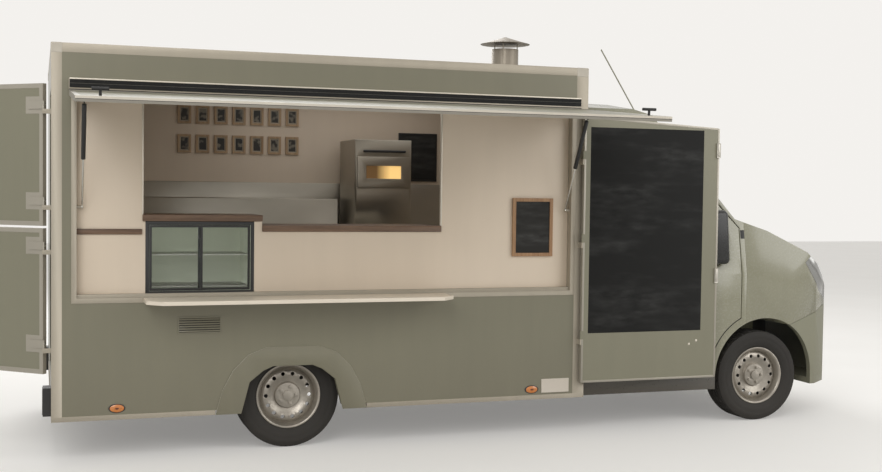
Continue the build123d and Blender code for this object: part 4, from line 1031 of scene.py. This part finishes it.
bpy.ops.object.mode_set(mode="OBJECT")
bumper.data.materials.clear()
bumper.data.materials.append(bumper_sage)
paint_faces(bumper.data, grille_black,
            lambda centre, normal: in_front(centre, normal, [air_way[:3] for air_way in air_ways]))
pick_faces(bumper, lambda centre, normal: in_front(centre, normal, air_slots))
bpy.ops.mesh.extrude_region_move(TRANSFORM_OT_translate={"value": (-slot_depth, 0, 0)})
bpy.ops.object.mode_set(mode="OBJECT")
black_faces = [face.index for face in bumper.data.polygons if face.material_index == 1]
finish_piece(bumper, bumper_sage, "truck_body", angle=40.0)
bumper.data.materials.append(grille_black)
for index in black_faces:
    bumper.data.polygons[index].material_index = 1
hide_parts("front_bumper")

# Headlamps and front plate: a moulded cover over each lamp, with a bright ring round the
# dipped and main lamps and an amber one round the turn lamp, and a blank pressed plate.
lamp_reflector = coated("lamp reflector", (0.34, 0.34, 0.33), 0.15, dust=0.0, shade=0.25, metallic=0.8,
                        clear_coat=1.0)
dress(["headlamps"], lamp_reflector, 0.003)


def surface_at(node_name, start, direction):
    """Where a straight line first meets a CAD node, and the surface's direction there."""
    mesh = nodes[node_name].data
    surface = BVHTree.FromPolygons([vertex.co for vertex in mesh.vertices],
                                   [face.vertices for face in mesh.polygons])
    return surface.ray_cast(Vector(start), Vector(direction))[:2]


lamp_bowl = coated("lamp bowl", (0.05, 0.05, 0.05), 0.15, dust=0.0, shade=0.1, clear_coat=1.0)
lamp_bright = coated("lamp ring", (0.75, 0.74, 0.72), 0.12, dust=0.0, shade=0.05, metallic=1.0)
front_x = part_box("front_bumper")[1].x
before_cab_x = front_x + 1
bowl_radius = 0.040
# Columns: radius, stand off the cover, both at size 1
ring_profile = [(0.0, 0.0015), (0.024, 0.001), (bowl_radius, 0.0045), (0.046, 0.0055), (0.050, 0.004),
                (0.052, -0.002)]
for side_name, side in (("left", 1), ("right", -1)):
    # Columns: name, y from the centreline, z, size, finish
    for lamp_name, lamp_y, lamp_z, lamp_size, ring_finish in (("dipped", 0.78, 1.060, 1.0, lamp_bright),
                                                              ("main", 0.64, 1.000, 0.85, lamp_bright),
                                                              ("turn", 0.80, 1.185, 0.62, lens_amber)):
        place, outward = surface_at("headlamps", (before_cab_x, centre_y + side * lamp_y, lamp_z), (-1, 0, 0))
        ring = lathe("lamp_ring_%s_%s" % (lamp_name, side_name), place, outward,
                     [(radius * lamp_size, stand) for radius, stand in ring_profile], 36)
        finish_piece(ring, ring_finish, "truck_body")
        rim_from = bowl_radius * lamp_size
        paint_faces(ring.data, lamp_bowl,
                    lambda centre, normal, place=place, rim_from=rim_from: (centre - place).length > rim_from)
blank_plate("front", (front_x - 0.003, centre_y - plate_half, 0.530),
            (front_x + 0.006, centre_y + plate_half, 0.640), (1, 0, 0))

# Wipers and door grips of the cab: black moulded and pressed pieces, screwed on from
# inside. The wipers rest along the foot of the windscreen.


def bar_between(name, start, end, radius):
    """A round bar between two places on the cab's body."""
    length = (end - start).length
    profile = [(0.0, 0.0), (0.7 * radius, 0.0), (radius, 0.3 * radius), (radius, length - 0.3 * radius),
               (0.7 * radius, length), (0.0, length)]
    finish_piece(lathe(name, start, end - start, profile, 12), grille_black, "truck_body")


def on_windscreen(across, height, stand):
    """A place that stands off the windscreen, or its foot below, across from the centreline."""
    for node_name in ("fixed_glass", "cab_shell"):
        place, outward = surface_at(node_name, (before_cab_x, centre_y + across, height), (-1, 0, 0))
        if place is not None:
            return place + outward * stand


wiper_foot = 1.640
# Columns: name, pivot, blade start, blade end, all across from the centreline
for wiper_name, pivot, blade_from, blade_to in (("left", -0.05, 0.10, 0.72), ("right", -0.68, -0.55, 0.02)):
    bar_between("wiper_arm_" + wiper_name, on_windscreen(pivot, wiper_foot, 0.020),
                on_windscreen((blade_from + blade_to) / 2, wiper_foot + 0.100, 0.026), 0.006)
    bar_between("wiper_blade_" + wiper_name, on_windscreen(blade_from, wiper_foot + 0.070, 0.014),
                on_windscreen(blade_to, wiper_foot + 0.125, 0.014), 0.007)
for side_name, side, body_name in (("left", 1, "cab_door_left"), ("right", -1, "truck_body")):
    door_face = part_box("cab_door_" + side_name)[1 if side > 0 else 0].y
    grip_y = sorted((door_face - side * 0.002, door_face + side * 0.030))
    shaped_bar("cab_grip_" + side_name, (axle_x - 1.165, grip_y[0], 1.055),
               (axle_x - 0.985, grip_y[1], 1.090), (0, side, 0), [(0.004, 0.004)],
               black_plastic, body_name, 0.009, 4)

# Mirrors, dashboard, seats and glass of the cab. The mirrors have round-edged moulded
# casings, folded back on the doors, and the seats are covered in dark woven cloth.
mirror_black = coated("mirror black", (0.012, 0.012, 0.012), 0.28, dust=0.1, peel=220.0, bump=0.05)
for side_name, body_name in (("right", "truck_body"), ("left", "cab_door_left")):
    mirror_low, mirror_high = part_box("mirror_" + side_name)
    casing = start_box("mirror_casing_" + side_name, mirror_low, mirror_high)
    casing_round = min(mirror_high.x - mirror_low.x, mirror_high.y - mirror_low.y) * 0.42
    pick_faces(casing, facing(0, 0, 1))
    bpy.ops.transform.resize(value=(0.80, 0.86, 1.0))
    finish_piece(casing, mirror_black, body_name, bevel=casing_round, segments=5)
    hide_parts("mirror_" + side_name)
dress(["dashboard"], cab_inside, 0.004)
seat_cloth = coated("seat cloth", (0.05, 0.05, 0.055), 0.9, dust=0.0, peel=400.0, bump=0.3)
dress(["cab_seats"], seat_cloth, 0.02)
glass = bpy.data.materials.new("window glass")
glass.use_nodes = True
pane = glass.node_tree.nodes["Principled BSDF"]
pane.inputs["Base Color"].default_value = (0.93, 0.95, 0.94, 1)
pane.inputs["Roughness"].default_value = 0.03
pane.inputs["Transmission Weight"].default_value = 1.0
pane.inputs["IOR"].default_value = 1.15
dress(["fixed_glass", "door_glass_left"], glass)

# Stage: a pale floor, soft lamps overhead and the camera where the photograph was taken.
# The floor and the sky look a little paler to the camera than they light the truck.
bpy.ops.object.select_all(action="DESELECT")
bpy.ops.mesh.primitive_plane_add(size=60.0, location=(0, 0, 0))
floor = bpy.context.object
floor.name = "floor"
floor_paint = bpy.data.materials.new("floor paint")
floor_paint.use_nodes = True
floor_tree = floor_paint.node_tree
floor_shader = floor_tree.nodes["Principled BSDF"]
floor_shader.inputs["Roughness"].default_value = 0.8
floor_shader.inputs["Emission Color"].default_value = (0.95, 0.93, 0.90, 1)
feed(floor_tree, floor_shader.inputs["Base Color"],
     mixed(floor_tree, noise_on(floor_tree, 0.8), (0.76, 0.75, 0.73), (0.70, 0.69, 0.67)))
feed(floor_tree, floor_shader.inputs["Emission Strength"],
     reckoned(floor_tree, "MULTIPLY", add_node(floor_tree, "LightPath").outputs["Is Camera Ray"], 0.24))
floor.data.materials.append(floor_paint)

camera_back = 7.7961
camera_rear = 0.0751
camera_height = 1.7611
camera_turn = math.radians(18.7847)
camera_dip = math.radians(2.1924)
camera_roll = math.radians(0.7163)
focal_pixels = 1184.83
frame_pixels = 882
camera_data = bpy.data.cameras.new("photo camera")
camera_data.sensor_width = 36.0
camera_data.lens = focal_pixels / frame_pixels * camera_data.sensor_width
camera = bpy.data.objects.new("photo camera", camera_data)
bpy.context.scene.collection.objects.link(camera)
camera.location = (rear_face_x - camera_rear, wall_low.y - camera_back, camera_height)
forward = Vector((math.sin(camera_turn) * math.cos(camera_dip), math.cos(camera_turn) * math.cos(camera_dip),
                  -math.sin(camera_dip)))
level = Vector((math.cos(camera_turn), -math.sin(camera_turn), 0))
upward = level.cross(forward)
right = math.cos(camera_roll) * level + math.sin(camera_roll) * upward
above = -math.sin(camera_roll) * level + math.cos(camera_roll) * upward
camera.rotation_mode = "QUATERNION"
camera.rotation_quaternion = Matrix((right, above, -forward)).transposed().to_quaternion()
bpy.context.scene.camera = camera

world = bpy.data.worlds.new("pale studio")
bpy.context.scene.world = world
world.use_nodes = True
sky = world.node_tree
ray = add_node(sky, "LightPath").outputs
sky_seen = reckoned(sky, "MAXIMUM", ray["Is Camera Ray"], ray["Is Transmission Ray"])
sky_shown = reckoned(sky, "MAXIMUM", sky_seen, ray["Is Glossy Ray"])
feed(sky, sky.nodes["Background"].inputs["Color"],
     mixed(sky, sky_shown, (0.55, 0.54, 0.52), (0.90, 0.88, 0.85)))
sky.nodes["Background"].inputs["Strength"].default_value = 1.0
# Columns: name, place, aim, size, watts
for lamp_name, place, aim, size, power in (
        ("key", (-6.0, -9.0, 7.0), (0, 0, 1.2), 7.0, 520.0),
        ("fill", (8.0, -7.0, 5.0), (1.0, 0, 1.0), 7.0, 300.0),
        ("back", (0.0, 9.0, 7.0), (0, 0, 1.5), 7.0, 500.0),
        ("galley", (axle_x - 2.9, centre_y - 0.1, box_top - 0.10), (axle_x - 2.9, centre_y, 0), 1.8, 8.0)):
    lamp_data = bpy.data.lights.new(lamp_name, "AREA")
    lamp_data.size = size
    lamp_data.energy = power
    lamp = bpy.data.objects.new(lamp_name, lamp_data)
    bpy.context.scene.collection.objects.link(lamp)
    lamp.location = place
    lamp.rotation_euler = (Vector(aim) - Vector(place)).to_track_quat("-Z", "Y").to_euler()
bpy.context.scene.view_settings.view_transform = "Standard"
